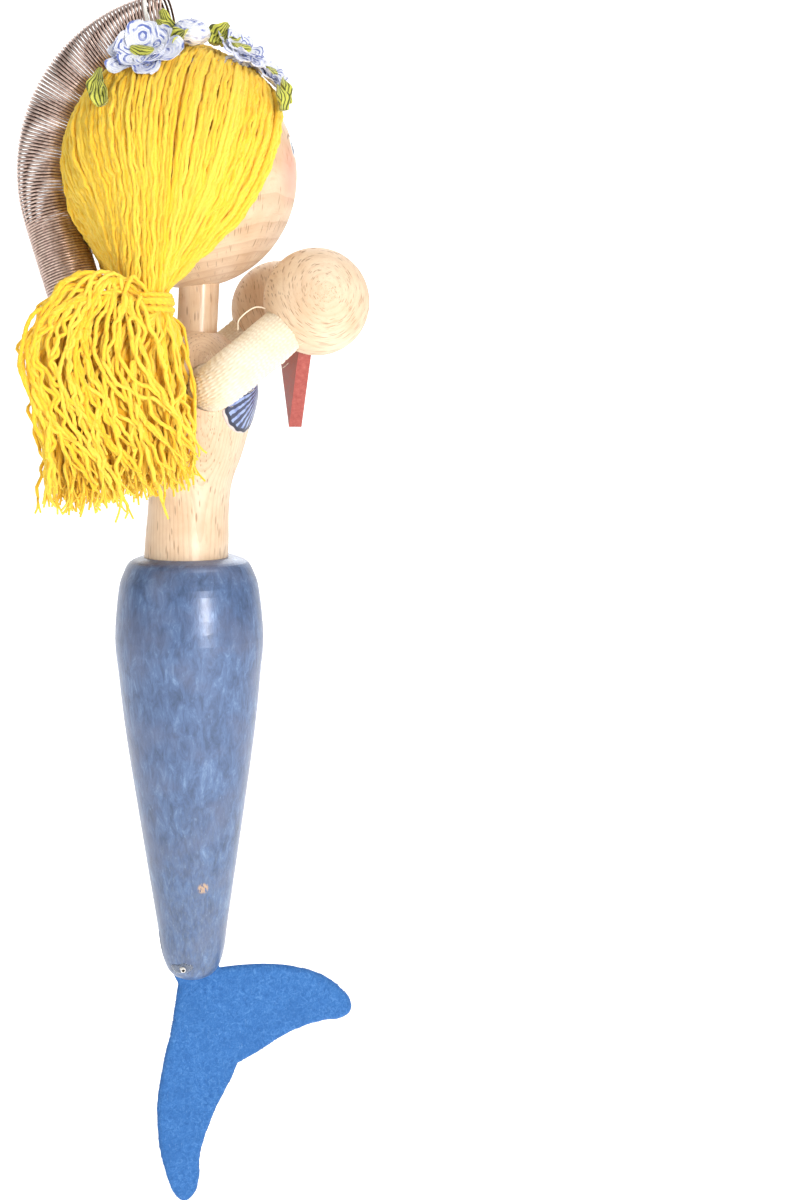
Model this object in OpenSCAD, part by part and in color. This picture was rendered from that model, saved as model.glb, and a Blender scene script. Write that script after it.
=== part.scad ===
// Mermaid hanging figure on a coil spring.
// Frame: +Z up the figure, +X the way it faces, its right side at -Y.
// Origin: the crown of the head, where the cord loop of the spring comes out.

/* [Head and neck] */
// Diameter of the head ball
head_d = 43; // [40:0.5:46]
// Diameter of the neck dowel
neck_d = 7.8; // [6:0.2:9]
// Depth of the dowel inside the head
neck_in_head = 11; // [8:0.5:13]
// Depth of the dowel inside the torso
neck_in_torso = 5; // [4:0.25:5.5]
// Diameter of the cord hole in the crown
crown_hole_d = 1.6; // [1.2:0.1:2.4]

/* [Torso] */
// Height of the torso, from the tail to the top of the shoulders
torso_h = 44; // [43:0.5:46]
// Largest radius of the chest
chest_r = 12.2; // [11.5:0.1:13]
// Smallest radius of the waist
waist_r = 7.95; // [7:0.05:9]
// How far the torso leans forward on the tail, in degrees
torso_lean = 3.3; // [0:0.1:4]
// Diameter of the peg under the torso
peg_d = 6; // [5:0.5:8]
// Width of one shell picture
shell_w = 12.4; // [10:0.2:13]
// Thickness of a shell picture
shell_t = 0.3; // [0.2:0.05:0.5]
// Angle of each shell's centre from straight ahead, in degrees
shell_turn = 43; // [38:1:50]

/* [Tail and fin] */
// Length of the wooden tail
tail_h = 88; // [82:1:92]
// Largest radius of the tail
tail_r = 14.75; // [13:0.25:16]
// Thickness of the felt fin
felt_t = 1.6; // [1:0.1:2.5]
// Depth of the saw cut that holds the fin
slot_h = 11; // [8:0.5:14]
// Diameter of the stitch cord at the tail's end
stitch_d = 1; // [0.8:0.1:1.4]

/* [Arms] */
// Diameter of the cotton rope
rope_d = 9; // [8:0.5:10]
// Clearance between the rope and the bore through the shoulders, on the radius
rope_gap = 0.08; // [0.05:0.01:0.1]
// Diameter of a hand ball
hand_d = 20; // [18:0.5:22]
// How far the arms point up, in degrees
arm_pitch = 39.4; // [36:0.2:42]
// Length of rope between the shoulder bend and the middle of a hand
forearm = 19.4; // [18.5:0.1:21]

/* [Heart] */
// Thickness of the heart
heart_t = 2.6; // [2.2:0.1:3.2]
// Radius of each lobe of the heart
lobe_r = 4.8; // [4.2:0.1:5]
// Distance of each lobe's centre from the middle of the heart
lobe_off = 4.1; // [3.5:0.1:4.3]
// Distance from the lobes' centres down to the tip
heart_tip = 17; // [15:0.5:20]
// Drop of the lobes' centres below the hands' centres
heart_drop = 6.9; // [6:0.1:8]

/* [Spring] */
// Outer diameter of the coil
coil_d = 11; // [10:0.2:11.4]
// Diameter of the wire
wire_d = 0.5; // [0.4:0.05:0.6]
// Radius of the bend round the head, to the middle of the coil
bend_r = 28; // [27.6:0.1:29]
// Turn of the spring's plane from straight back towards the left side, in degrees
spring_turn = 25; // [20:1:30]
// Angle from the crown at which the bend ends, in degrees
bend_end = 107; // [104:1:110]
// Length of the straight stretch after the bend
straight_h = 16; // [12:1:18]

/* [Hair and wreath] */
// Thickness of the hair on the head
hair_t = 1.8; // [1.2:0.1:2.4]
// Radius of the ring of flowers round the crown
wreath_r = 12; // [11:0.5:13]
// Radius of a flower
flower_r = 4.5; // [3.8:0.1:4.6]

/* [Hidden] */
$fn = 64;
beyond = 60; // reach of a cutting solid past the part

beech = "#e3c6a0";
yarn = "#f2c531";
steel = "#b9aca6";
leaf_green = "#b9bf45";

head_r = head_d / 2;
head_z = -head_r;
crown_hole_h = 8;
joint_z = -95.4;
joint_x = -0.5;
neck_top = (head_z - head_r - joint_z) + neck_in_head;

foot_r = 8.3;
peg_h = 9;
fin_x = -1;
stitch_back = 3;
stitch_up = 4.3;
stitch_h = 11.8;

shoulder_x = 2.5;
shoulder_z = -62;
rope_r = rope_d / 2;
rope_bend = 5.5;
rope_turn = 96.4;
rope_straight = 12.6;
rope_end_gap = 1.5;
heart_back = 0.4;

coil_r = coil_d / 2;
coil_wall = 0.6;
cord_r = 0.4;
cord_in_head = 6;
cord_back = 3.1;
loop_gap = 0.3;
eye_gap = 0.2;
bends = 5;
bend_start = asin(coil_r / bend_r);
bend_step = (bend_end - bend_start) / bends;
seam = 0.3;
end_turn = 5.2;
end_gap = 1.8;

hair_r = head_r + hair_t;
tie_right = [-10, -15.5, -47.2];
tie_left = [-8, 17, -47.2];
tie_r = 5.2;
tie_h = 3;
parting = 0.25;
hairline_turn = 117.1;
hairline_out = 10.5;
nape_r = 7;
crown_gap_r = 5.6;
shell_up = 31.3;
wreath_tilt = 3;
band_r = 1;
petal_t = 0.8;
leaf_t = 0.7;
leaf_r = 2.7;
leaf_off = 1.4;
centre_r = 1.3;
centre_t = 0.9;
bud_r = 2.2;
leaf_lift = 2 * band_r + 0.1;
flower_lift = leaf_lift + leaf_t + 0.1;
flower_turns = [222, 315, 0, 45, 90];
leaf_turns = [[250, 9.5], [292, 9.5], [337, 12], [23, 12], [67, 12], [113, 12], [212, 19], [323, 19.5]];

// A smooth curve through a list of points: four neighbours give each stretch.
function blend4(a, b, c, d, t) = 0.5 * (2 * b + (c - a) * t + (2 * a - 5 * b + 4 * c - d) * t * t
    + (3 * b - a - 3 * c + d) * t * t * t);
function pick(p, i) = p[max(0, min(len(p) - 1, i))];
function smooth(p, n = 4) = concat([for (i = [0 : len(p) - 2]) for (k = [0 : n - 1])
    blend4(pick(p, i - 1), p[i], p[i + 1], pick(p, i + 2), k / n)], [p[len(p) - 1]]);

// One stretch of a curve pulled by two control points, without its last point.
function pull(a, b, c, d, n = 8) = [for (k = [0 : n - 1]) let (t = k / n, u = 1 - t)
    u * u * u * a + 3 * u * u * t * b + 3 * u * t * t * c + t * t * t * d];

// Radius and height of the torso's turned outline, from the tail joint up.
function torso_line(grow = 0) = smooth([[foot_r + grow, 0], [8.2 + grow, 4], [waist_r + grow, 10],
    [8.3 + grow, 15.4], [9.8 + grow, 20.4], [11.1 + grow, 25.9], [chest_r - 0.1 + grow, 30.9],
    [chest_r + grow, 34.4], [10.8 + grow, 38.4], [7.6 + grow, torso_h - 2 + grow],
    [4.8 + grow, torso_h + grow]]);

// Radius and depth of the tail's turned outline, from its flat top down.
function tail_line() = smooth([[9.3, 0], [11.6, -1], [12.8, -3], [13.9, -6.6], [tail_r, -16.1], [14.1, -24.1],
    [12.8, -36.6], [9.8, -0.658 * tail_h], [7.4, -0.844 * tail_h], [6.2, -0.938 * tail_h],
    [4.2, 1.5 - tail_h], [0, -tail_h]]);

module at_head() { translate([0, 0, head_z]) children(); }
module on_torso() { translate([joint_x, 0, joint_z]) rotate([0, torso_lean, 0]) children(); }
module spring_plane() { at_head() rotate([0, 0, 180 - spring_turn]) rotate([90, 0, 0]) children(); }
module bend_frame(turn) { spring_plane() rotate([0, 0, 90 - turn]) children(); }
module on_wreath(turn, r, lift) {
    reach = hair_r + lift;
    at_head() rotate([0, wreath_tilt, 0]) rotate([0, 0, turn]) rotate([0, asin(r / reach), 0])
        translate([0, 0, reach]) children();
}
module arm_frame() { translate([shoulder_x, 0, shoulder_z]) rotate([0, -arm_pitch, 0]) children(); }

// Where the straight stretch of rope starts, in the arm's own plane.
elbow = [rope_bend * (1 - cos(rope_turn)), rope_straight + rope_bend * sin(rope_turn)];
forearm_dir = [sin(rope_turn), cos(rope_turn)];
hand_at = elbow + forearm * forearm_dir;
hand_x = shoulder_x + hand_at[0] * cos(arm_pitch);
hand_z = shoulder_z + hand_at[0] * sin(arm_pitch);

module head() {
    color(beech) difference() {
        at_head() sphere(head_r, $fn = 128);
        neck_bar();
        translate([0, 0, -crown_hole_h]) cylinder(d = crown_hole_d, h = 2 * crown_hole_h);
    }
}

module neck_bar() {
    on_torso() translate([0, 0, torso_h - neck_in_torso])
        cylinder(d = neck_d, h = neck_top - torso_h + neck_in_torso);
}

module neck_dowel() { color(beech) neck_bar(); }

module torso_body(grow) {
    difference() {
        on_torso() union() {
            rotate_extrude() polygon(concat([[0, 0]], torso_line(grow), [[0, torso_h + grow]]));
            translate([0, 0, -3]) cylinder(r = foot_r + grow, h = 3.01);
        }
        translate([-beyond, -beyond, joint_z - beyond]) cube([2 * beyond, 2 * beyond, beyond]);
    }
}

module shoulder_bar(r) {
    translate([shoulder_x, 0, shoulder_z]) rotate([90, 0, 0]) cylinder(r = r, h = 40, center = true);
}

module torso() {
    color(beech) union() {
        difference() {
            torso_body(0);
            neck_bar();
            shoulder_bar(rope_r + rope_gap);
        }
        translate([joint_x, 0, joint_z - peg_h]) cylinder(d = peg_d, h = peg_h);
    }
}

module shell_picture(side) {
    color("#7f95cf") difference() {
        intersection() {
            torso_body(shell_t);
            on_torso() translate([0, 0, shell_up]) rotate([0, 0, side * shell_turn]) rotate([0, 90, 0])
                cylinder(d = shell_w, h = 20);
        }
        torso_body(0);
        shoulder_bar(rope_r + 0.5);
    }
}

module shell_right() { shell_picture(-1); }
module shell_left() { shell_picture(1); }

module tail() {
    color("#5f80ad") difference() {
        translate([0, 0, joint_z]) rotate_extrude() polygon(concat([[0, 0]], tail_line()));
        translate([joint_x, 0, joint_z - peg_h]) cylinder(d = peg_d, h = peg_h + 1);
        translate([-10, -felt_t / 2, joint_z - tail_h - 1]) cube([20, felt_t, slot_h + 1]);
        stitch_bar();
    }
}

// The fin's outline is drawn from the middle of the tail's end.
module fin() {
    outline = concat([[-3.8, 4], [-3.8, slot_h], [5, slot_h]],
        pull([6.5, 1.5], [14, 1.8], [27, 1.5], [33.6, -6.8]),
        pull([33.6, -6.8], [36.2, -10.2], [34.2, -12.6], [30.5, -12.4]),
        pull([30.5, -12.4], [23, -12.2], [17.5, -17.2], [10.3, -19.8]),
        pull([10.3, -19.8], [8.2, -24.5], [3, -31.5], [1.9, -40]),
        pull([1.9, -40], [1.8, -45.5], [1.6, -49.2], [-1.2, -49.4]),
        pull([-1.2, -49.4], [-4, -49.4], [-6.7, -39], [-6.8, -31]),
        pull([-6.8, -31], [-6.9, -20], [-3.4, -12], [-2.2, -1]));
    color("#2f72c4") difference() {
        translate([fin_x, felt_t / 2, joint_z - tail_h]) rotate([90, 0, 0])
            linear_extrude(felt_t) polygon(outline);
        stitch_bar();
    }
}

module stitch_bar() {
    translate([-stitch_back, stitch_h / 2, joint_z - tail_h + stitch_up]) rotate([90, 0, 0])
        cylinder(d = stitch_d, h = stitch_h);
}

module fin_stitch() { color("white") stitch_bar(); }

// Half of the rope on the +Y side: bore, bend and forearm.
module half_rope() {
    rotate([-90, 0, 0]) cylinder(r = rope_r, h = rope_straight);
    translate([rope_bend, rope_straight, 0]) rotate([0, 0, 180 - rope_turn])
        rotate_extrude(angle = rope_turn) translate([rope_bend, 0]) circle(rope_r);
    forearm_bar();
}

module forearm_bar() {
    translate([elbow[0], elbow[1], 0]) rotate([0, 0, 90 - rope_turn]) rotate([0, 90, 0])
        cylinder(r = rope_r, h = forearm - rope_end_gap);
}

module arm_rope() {
    color("#f0e2c2") arm_frame() {
        half_rope();
        mirror([0, 1, 0]) half_rope();
    }
}

module heart_plate() {
    slope = atan(lobe_off / heart_tip) + asin(lobe_r / norm([lobe_off, heart_tip]));
    edge = [cos(slope), -sin(slope)] * lobe_r + [lobe_off, 0];
    translate([hand_x - heart_back - heart_t / 2, 0, hand_z - heart_drop]) rotate([90, 0, 90])
        linear_extrude(heart_t) union() {
            translate([lobe_off, 0]) circle(lobe_r);
            translate([-lobe_off, 0]) circle(lobe_r);
            polygon([[0, -heart_tip], edge, [lobe_off, 0.5], [0, 1.5], [-lobe_off, 0.5], [-edge[0], edge[1]]]);
        }
}

module hand_ball() {
    difference() {
        arm_frame() translate([hand_at[0], hand_at[1], 0]) sphere(hand_d / 2);
        arm_frame() forearm_bar();
        heart_plate();
    }
}

module hand_left() { color(beech) hand_ball(); }
module hand_right() { color(beech) mirror([0, 1, 0]) hand_ball(); }
module heart() { color("#b24a48") heart_plate(); }

// The hair on one side of the head: a shell that runs into a cone down to the tie.
module hair_mass(tie) {
    to_tie = tie - [0, 0, head_z - tie_h / 2 - 3];
    reach = norm(to_tie);
    taper = asin((hair_r - tie_r) / reach);
    sphere(hair_r, $fn = 128);
    rotate([0, acos(to_tie[2] / reach), atan2(to_tie[1], to_tie[0])]) translate([0, 0, hair_r * sin(taper)])
        cylinder(r1 = hair_r * cos(taper), r2 = tie_r * cos(taper), h = reach - (hair_r - tie_r) * sin(taper));
}

// One side of the hair, from the middle parting to the tie, open at the face, the neck and the crown.
module hair_half(side, tie) {
    difference() {
        at_head() hair_mass(tie);
        at_head() sphere(head_r, $fn = 128);
        at_head() translate([-beyond, side < 0 ? -parting : parting - beyond, -beyond])
            cube([2 * beyond, beyond, 2 * beyond]);
        at_head() rotate([0, hairline_turn, 0]) translate([-beyond, -beyond, hairline_out])
            cube([2 * beyond, 2 * beyond, beyond]);
        translate([-beyond, -beyond, tie[2] + tie_h / 2 - beyond]) cube([2 * beyond, 2 * beyond, beyond]);
        on_torso() cylinder(r = nape_r, h = 70);
        bend_frame(0) rotate_extrude() translate([bend_r, 0]) circle(coil_r + 0.2);
        straight_bar(coil_r + 0.3);
        translate([0, 0, -3]) cylinder(r = crown_gap_r, h = 8);
    }
}

module hair_right() { color(yarn) hair_half(-1, tie_right); }
module hair_left() { color(yarn) hair_half(1, tie_left); }
module hair_tie(at) { color("#e8b92c") translate(at - [0, 0, tie_h / 2]) cylinder(r = tie_r, h = tie_h); }
module hair_tie_right() { hair_tie(tie_right); }
module hair_tie_left() { hair_tie(tie_left); }

// A hank of yarn below its tie: each row is x, y, z of a ball from the tie's middle, and its radius.
module hank(at, balls) {
    color(yarn) translate(at) hull() for (b = balls) translate([b[0], b[1], b[2]]) sphere(b[3], $fn = 28);
}

module pigtail_right() {
    hank(tie_right, [[0, 0, -6.7, 4.8], [-14, -0.3, -13, 6], [-15, -0.5, -29, 6],
        [1, -1, -13, 6], [1, -1.5, -29, 6]]);
}

module pigtail_left() {
    hank(tie_left, [[0, 1, -6.7, 4.8], [-11, 6.2, -14, 5.6], [-12, 6.2, -28, 5.6],
        [-1, 6.2, -14, 5.6], [-1, 6.2, -28, 5.6]]);
}

module wreath_band() {
    open = 34;
    at_r = hair_r + band_r + 0.05;
    color("#dfe3f2") at_head() rotate([0, wreath_tilt, 0]) rotate([0, 0, 180 - spring_turn + open])
        rotate_extrude(angle = 360 - 2 * open)
        translate([wreath_r, sqrt(at_r * at_r - wreath_r * wreath_r)]) circle(band_r, $fn = 24);
}

module flower(n) {
    petal = flower_r * 0.42;
    color("#e6e9f6") on_wreath(flower_turns[n], wreath_r, flower_lift) linear_extrude(petal_t) union() {
        circle(petal);
        for (k = [0 : 4]) rotate([0, 0, 72 * k]) translate([flower_r - petal, 0]) circle(petal);
    }
}

module flower_1() { flower(0); }
module flower_2() { flower(1); }
module flower_3() { flower(2); }
module flower_4() { flower(3); }
module flower_5() { flower(4); }

module wreath_centres() {
    color(leaf_green) for (turn = flower_turns)
        on_wreath(turn, wreath_r, flower_lift) translate([0, 0, petal_t]) cylinder(r = centre_r, h = centre_t);
}

// A leaf is the overlap of two discs.
module wreath_leaves() {
    color(leaf_green) for (spot = leaf_turns) on_wreath(spot[0], spot[1], leaf_lift)
        linear_extrude(leaf_t) intersection() {
            translate([0, leaf_off]) circle(leaf_r);
            translate([0, -leaf_off]) circle(leaf_r);
        }
}

module wreath_bud() {
    color("#e6e9f6") on_wreath(271, 6.6, 0.3) difference() {
        sphere(bud_r);
        translate([-beyond, -beyond, -2 * beyond]) cube(2 * beyond);
    }
}

module ring_of(r, tube) { rotate_extrude() translate([r, 0]) circle(tube, $fn = 24); }

// The cord comes out of the crown hole and lies back to the loop.
module crown_cord() {
    color("white") union() {
        translate([0, 0, -cord_in_head]) cylinder(r = cord_r, h = cord_in_head + cord_r);
        translate([0, 0, cord_r]) sphere(cord_r, $fn = 24);
        rotate([0, 0, 180 - spring_turn]) translate([0, 0, cord_r]) rotate([0, 90, 0])
            cylinder(r = cord_r, h = cord_back);
    }
}

module cord_loop() {
    color("white") bend_frame(bend_start) translate([bend_r, 0, 0]) rotate([90, 0, 0])
        ring_of(coil_r - cord_r - loop_gap, cord_r);
}

module coil_tube(from, to) {
    color(steel) bend_frame(to) rotate_extrude(angle = to - from) translate([bend_r, 0]) difference() {
        circle(coil_r);
        circle(coil_r - coil_wall);
    }
}

module straight_bar(r) {
    bend_frame(bend_end) translate([bend_r, 0, 0]) rotate([90, 0, 0]) cylinder(r = r, h = straight_h);
}

module spring_end() { coil_tube(bend_start - end_gap / 2 - end_turn, bend_start - end_gap / 2); }
module spring_1() { coil_tube(bend_start + end_gap / 2, bend_start + bend_step / 2 - seam); }
module spring_arc(n) {
    middle = bend_start + (n - 1) * bend_step;
    coil_tube(middle - bend_step / 2, middle + bend_step / 2 - seam);
}
module spring_2() { spring_arc(2); }
module spring_3() { spring_arc(3); }
module spring_4() { spring_arc(4); }
module spring_5() { spring_arc(5); }
module spring_6() { coil_tube(bend_end - bend_step / 2, bend_end - seam); }

module spring_straight() {
    color(steel) difference() {
        straight_bar(coil_r);
        bend_frame(bend_end) translate([bend_r, 1, 0]) rotate([90, 0, 0])
            cylinder(r = coil_r - coil_wall, h = straight_h + 2);
    }
}

// The last two turns of wire, bent up together into an eye.
module spring_eye() {
    color(steel) bend_frame(bend_end) translate([bend_r, -straight_h - coil_r - eye_gap, 0])
        ring_of(coil_r - wire_d, wire_d);
}

head();
neck_dowel();
torso();
shell_right();
shell_left();
tail();
fin();
fin_stitch();
arm_rope();
hand_right();
hand_left();
heart();
hair_right();
hair_left();
hair_tie_right();
hair_tie_left();
pigtail_right();
pigtail_left();
wreath_band();
wreath_leaves();
wreath_centres();
wreath_bud();
flower_1();
flower_2();
flower_3();
flower_4();
flower_5();
crown_cord();
cord_loop();
spring_end();
spring_1();
spring_2();
spring_3();
spring_4();
spring_5();
spring_6();
spring_straight();
spring_eye();
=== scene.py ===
import math

import bmesh
import bpy
import numpy as np
from mathutils import Matrix, Vector
from mathutils.geometry import delaunay_2d_cdt


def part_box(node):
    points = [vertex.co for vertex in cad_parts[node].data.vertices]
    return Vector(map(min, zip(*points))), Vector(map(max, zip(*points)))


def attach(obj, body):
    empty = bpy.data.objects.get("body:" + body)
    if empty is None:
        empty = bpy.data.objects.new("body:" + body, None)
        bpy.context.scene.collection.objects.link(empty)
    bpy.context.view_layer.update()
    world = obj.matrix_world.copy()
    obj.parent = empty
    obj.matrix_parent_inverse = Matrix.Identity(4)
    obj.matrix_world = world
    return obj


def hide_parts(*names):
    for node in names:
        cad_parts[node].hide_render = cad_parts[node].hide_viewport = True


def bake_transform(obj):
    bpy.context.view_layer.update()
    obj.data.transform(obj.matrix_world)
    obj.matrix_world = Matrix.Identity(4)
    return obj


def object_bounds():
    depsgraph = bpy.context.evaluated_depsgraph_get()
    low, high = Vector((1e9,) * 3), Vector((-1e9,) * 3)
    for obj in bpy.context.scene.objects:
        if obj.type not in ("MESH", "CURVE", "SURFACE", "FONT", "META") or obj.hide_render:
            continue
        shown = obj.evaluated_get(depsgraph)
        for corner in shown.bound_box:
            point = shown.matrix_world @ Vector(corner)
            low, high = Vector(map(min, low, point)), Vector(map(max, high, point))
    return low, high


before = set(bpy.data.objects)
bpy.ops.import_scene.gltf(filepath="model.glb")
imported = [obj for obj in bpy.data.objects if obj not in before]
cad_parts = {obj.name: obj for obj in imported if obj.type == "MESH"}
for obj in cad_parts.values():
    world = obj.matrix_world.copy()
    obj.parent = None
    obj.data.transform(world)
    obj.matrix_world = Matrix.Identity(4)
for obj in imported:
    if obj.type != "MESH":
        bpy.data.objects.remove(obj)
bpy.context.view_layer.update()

# Everything is worked out in millimetres and turned into metres when a mesh is made.
MM = 0.001
RNG = np.random.default_rng(154)


def middle(node):
    """The middle of a CAD node's box, in millimetres."""
    low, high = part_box(node)
    return np.array((low + high) / 2) / MM


def span(node):
    """The size of a CAD node's box, in millimetres."""
    low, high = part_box(node)
    return np.array(high - low) / MM


def unit(v):
    v = np.asarray(v, float)
    return v / np.linalg.norm(v, axis=-1, keepdims=True)


# ---------------------------------------------------------------- driving places and sizes
HEAD_R = span("head")[1] / 2
HEAD = np.array([0.0, 0.0, -HEAD_R])
TIE_H = span("hair_tie_right")[2]
TIE_R = span("hair_tie_right")[0] / 2
TIE = {"right": middle("hair_tie_right"), "left": middle("hair_tie_left")}
FIN_ROOT = np.array([-1.0, 0.0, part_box("tail")[0].z / MM])
COIL_R = 5.5
WIRE_R = 0.25
BEND_R = 28.0
BEND_START = math.degrees(math.asin(COIL_R / BEND_R))
BEND_END = 107.0
BEND_STEP = (BEND_END - BEND_START) / 5
STRAIGHT = 16.0
EYE_GAP = 0.2
SPRING_TURN = math.radians(25)
BACK = np.array([-math.cos(SPRING_TURN), math.sin(SPRING_TURN), 0.0])
SIDE = np.array([math.sin(SPRING_TURN), math.cos(SPRING_TURN), 0.0])
UP = np.array([0.0, 0.0, 1.0])
SHELL_TURN = math.radians(43)


# ---------------------------------------------------------------- camera
def make_camera():
    azimuth, elevation, roll = math.radians(-17), math.radians(8), math.radians(0.5)
    place = np.array([-47.8, -296.0, -62.1])
    back = np.array([math.sin(azimuth) * math.cos(elevation),
                     -math.cos(azimuth) * math.cos(elevation), math.sin(elevation)])
    right = np.array([math.cos(azimuth), math.sin(azimuth), 0.0])
    up = np.cross(back, right)
    right, up = (math.cos(roll) * right + math.sin(roll) * up, math.cos(roll) * up - math.sin(roll) * right)
    data = bpy.data.cameras.new("camera")
    data.sensor_width = 36
    data.lens = 45
    data.clip_start = 0.01
    cam = bpy.data.objects.new("camera", data)
    bpy.context.scene.collection.objects.link(cam)
    turn = Matrix([[right[i], up[i], back[i]] for i in range(3)]).to_4x4()
    cam.matrix_world = Matrix.Translation(Vector(place * MM)) @ turn
    bpy.context.scene.camera = cam


make_camera()
bpy.context.scene.view_settings.view_transform = "Standard"


# ---------------------------------------------------------------- material helpers
def srgb(r, g, b):
    """A colour given as 0 to 255 sRGB, as linear RGBA."""
    def linear(c):
        c = c / 255
        return c / 12.92 if c <= 0.04045 else ((c + 0.055) / 1.055) ** 2.4
    return (linear(r), linear(g), linear(b), 1.0)


class Graph:
    """A material's nodes, made by short calls that take sockets, numbers or colours."""

    def __init__(self, name, **surface):
        self.material = bpy.data.materials.new(name)
        self.material.use_nodes = True
        self.tree = self.material.node_tree
        self.shader = self.tree.nodes["Principled BSDF"]
        for key, value in surface.items():
            self.shader.inputs[key.replace("_", " ")].default_value = value

    def put(self, socket, value):
        if isinstance(value, bpy.types.NodeSocket):
            self.tree.links.new(value, socket)
        elif value is not None:
            socket.default_value = value

    def out(self, key, value):
        self.put(self.shader.inputs[key], value)

    def node(self, kind, **props):
        n = self.tree.nodes.new(kind)
        for key, value in props.items():
            setattr(n, key, value)
        return n

    def place(self):
        return self.node("ShaderNodeTexCoord").outputs["Object"]

    def in_mm(self):
        return self.mapping(self.place(), scale=(1 / MM, 1 / MM, 1 / MM))

    def attribute(self, name):
        return self.node("ShaderNodeAttribute", attribute_name=name).outputs["Fac"]

    def math(self, op, a, b=None):
        n = self.node("ShaderNodeMath", operation=op)
        self.put(n.inputs[0], a)
        self.put(n.inputs[1], b)
        return n.outputs[0]

    def add(self, a, b):
        return self.math("ADD", a, b)

    def sub(self, a, b):
        return self.math("SUBTRACT", a, b)

    def mul(self, a, b):
        return self.math("MULTIPLY", a, b)

    def div(self, a, b):
        return self.math("DIVIDE", a, b)

    def hypot(self, a, b):
        return self.math("SQRT", self.add(self.mul(a, a), self.mul(b, b)))

    def vmath(self, op, a, b=None):
        n = self.node("ShaderNodeVectorMath", operation=op)
        self.put(n.inputs[0], a)
        self.put(n.inputs[1], b)
        return n.outputs["Value" if op in ("LENGTH", "DOT_PRODUCT", "DISTANCE") else "Vector"]

    def mapping(self, vec, move=(0, 0, 0), turn=(0, 0, 0), scale=(1, 1, 1)):
        n = self.node("ShaderNodeMapping")
        self.put(n.inputs["Vector"], vec)
        n.inputs["Location"].default_value = move
        n.inputs["Rotation"].default_value = turn
        n.inputs["Scale"].default_value = scale
        return n.outputs[0]

    def split(self, vec):
        n = self.node("ShaderNodeSeparateXYZ")
        self.put(n.inputs[0], vec)
        return n.outputs

    def join(self, x, y, z):
        n = self.node("ShaderNodeCombineXYZ")
        for socket, value in zip(n.inputs, (x, y, z)):
            self.put(socket, value)
        return n.outputs[0]

    def noise(self, vec, scale, detail=2.0, rough=0.5, distortion=0.0):
        n = self.node("ShaderNodeTexNoise")
        self.put(n.inputs["Vector"], vec)
        n.inputs["Scale"].default_value = scale
        n.inputs["Detail"].default_value = detail
        n.inputs["Roughness"].default_value = rough
        n.inputs["Distortion"].default_value = distortion
        return n.outputs["Fac"]

    def cells(self, vec):
        n = self.node("ShaderNodeTexVoronoi")
        self.put(n.inputs["Vector"], vec)
        n.inputs["Scale"].default_value = 1.0
        return n.outputs

    def step(self, value, low, high, to_low=0.0, to_high=1.0):
        """value from low to high, smoothly, becomes to_low to to_high."""
        n = self.node("ShaderNodeMapRange", interpolation_type="SMOOTHSTEP")
        self.put(n.inputs["Value"], value)
        for key, number in zip(("From Min", "From Max", "To Min", "To Max"), (low, high, to_low, to_high)):
            n.inputs[key].default_value = number
        return n.outputs[0]

    def mix(self, share, a, b):
        n = self.node("ShaderNodeMix", data_type="RGBA")
        self.put(n.inputs["Factor"], share)
        self.put(n.inputs[6], a)
        self.put(n.inputs[7], b)
        return n.outputs[2]

    def ramp(self, share, *stops):
        n = self.node("ShaderNodeValToRGB")
        self.put(n.inputs[0], share)
        parts = n.color_ramp.elements
        while len(parts) < len(stops):
            parts.new(0.5)
        for part, (at, colour) in zip(parts, stops):
            part.position = at
            part.color = colour
        return n.outputs[0]

    def bump(self, height, distance, strength):
        n = self.node("ShaderNodeBump")
        self.put(n.inputs["Height"], height)
        n.inputs["Distance"].default_value = distance * MM
        n.inputs["Strength"].default_value = strength
        return n.outputs[0]


# ---------------------------------------------------------------- wood
BEECH_PALE = srgb(231, 208, 180)
BEECH_DARK = srgb(217, 187, 154)
BEECH_LATE = srgb(186, 142, 106)
BEECH_FIBRE = srgb(200, 160, 122)
BEECH_STREAK = srgb(196, 154, 116)
BEECH_FLECK = srgb(128, 86, 60)


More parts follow.
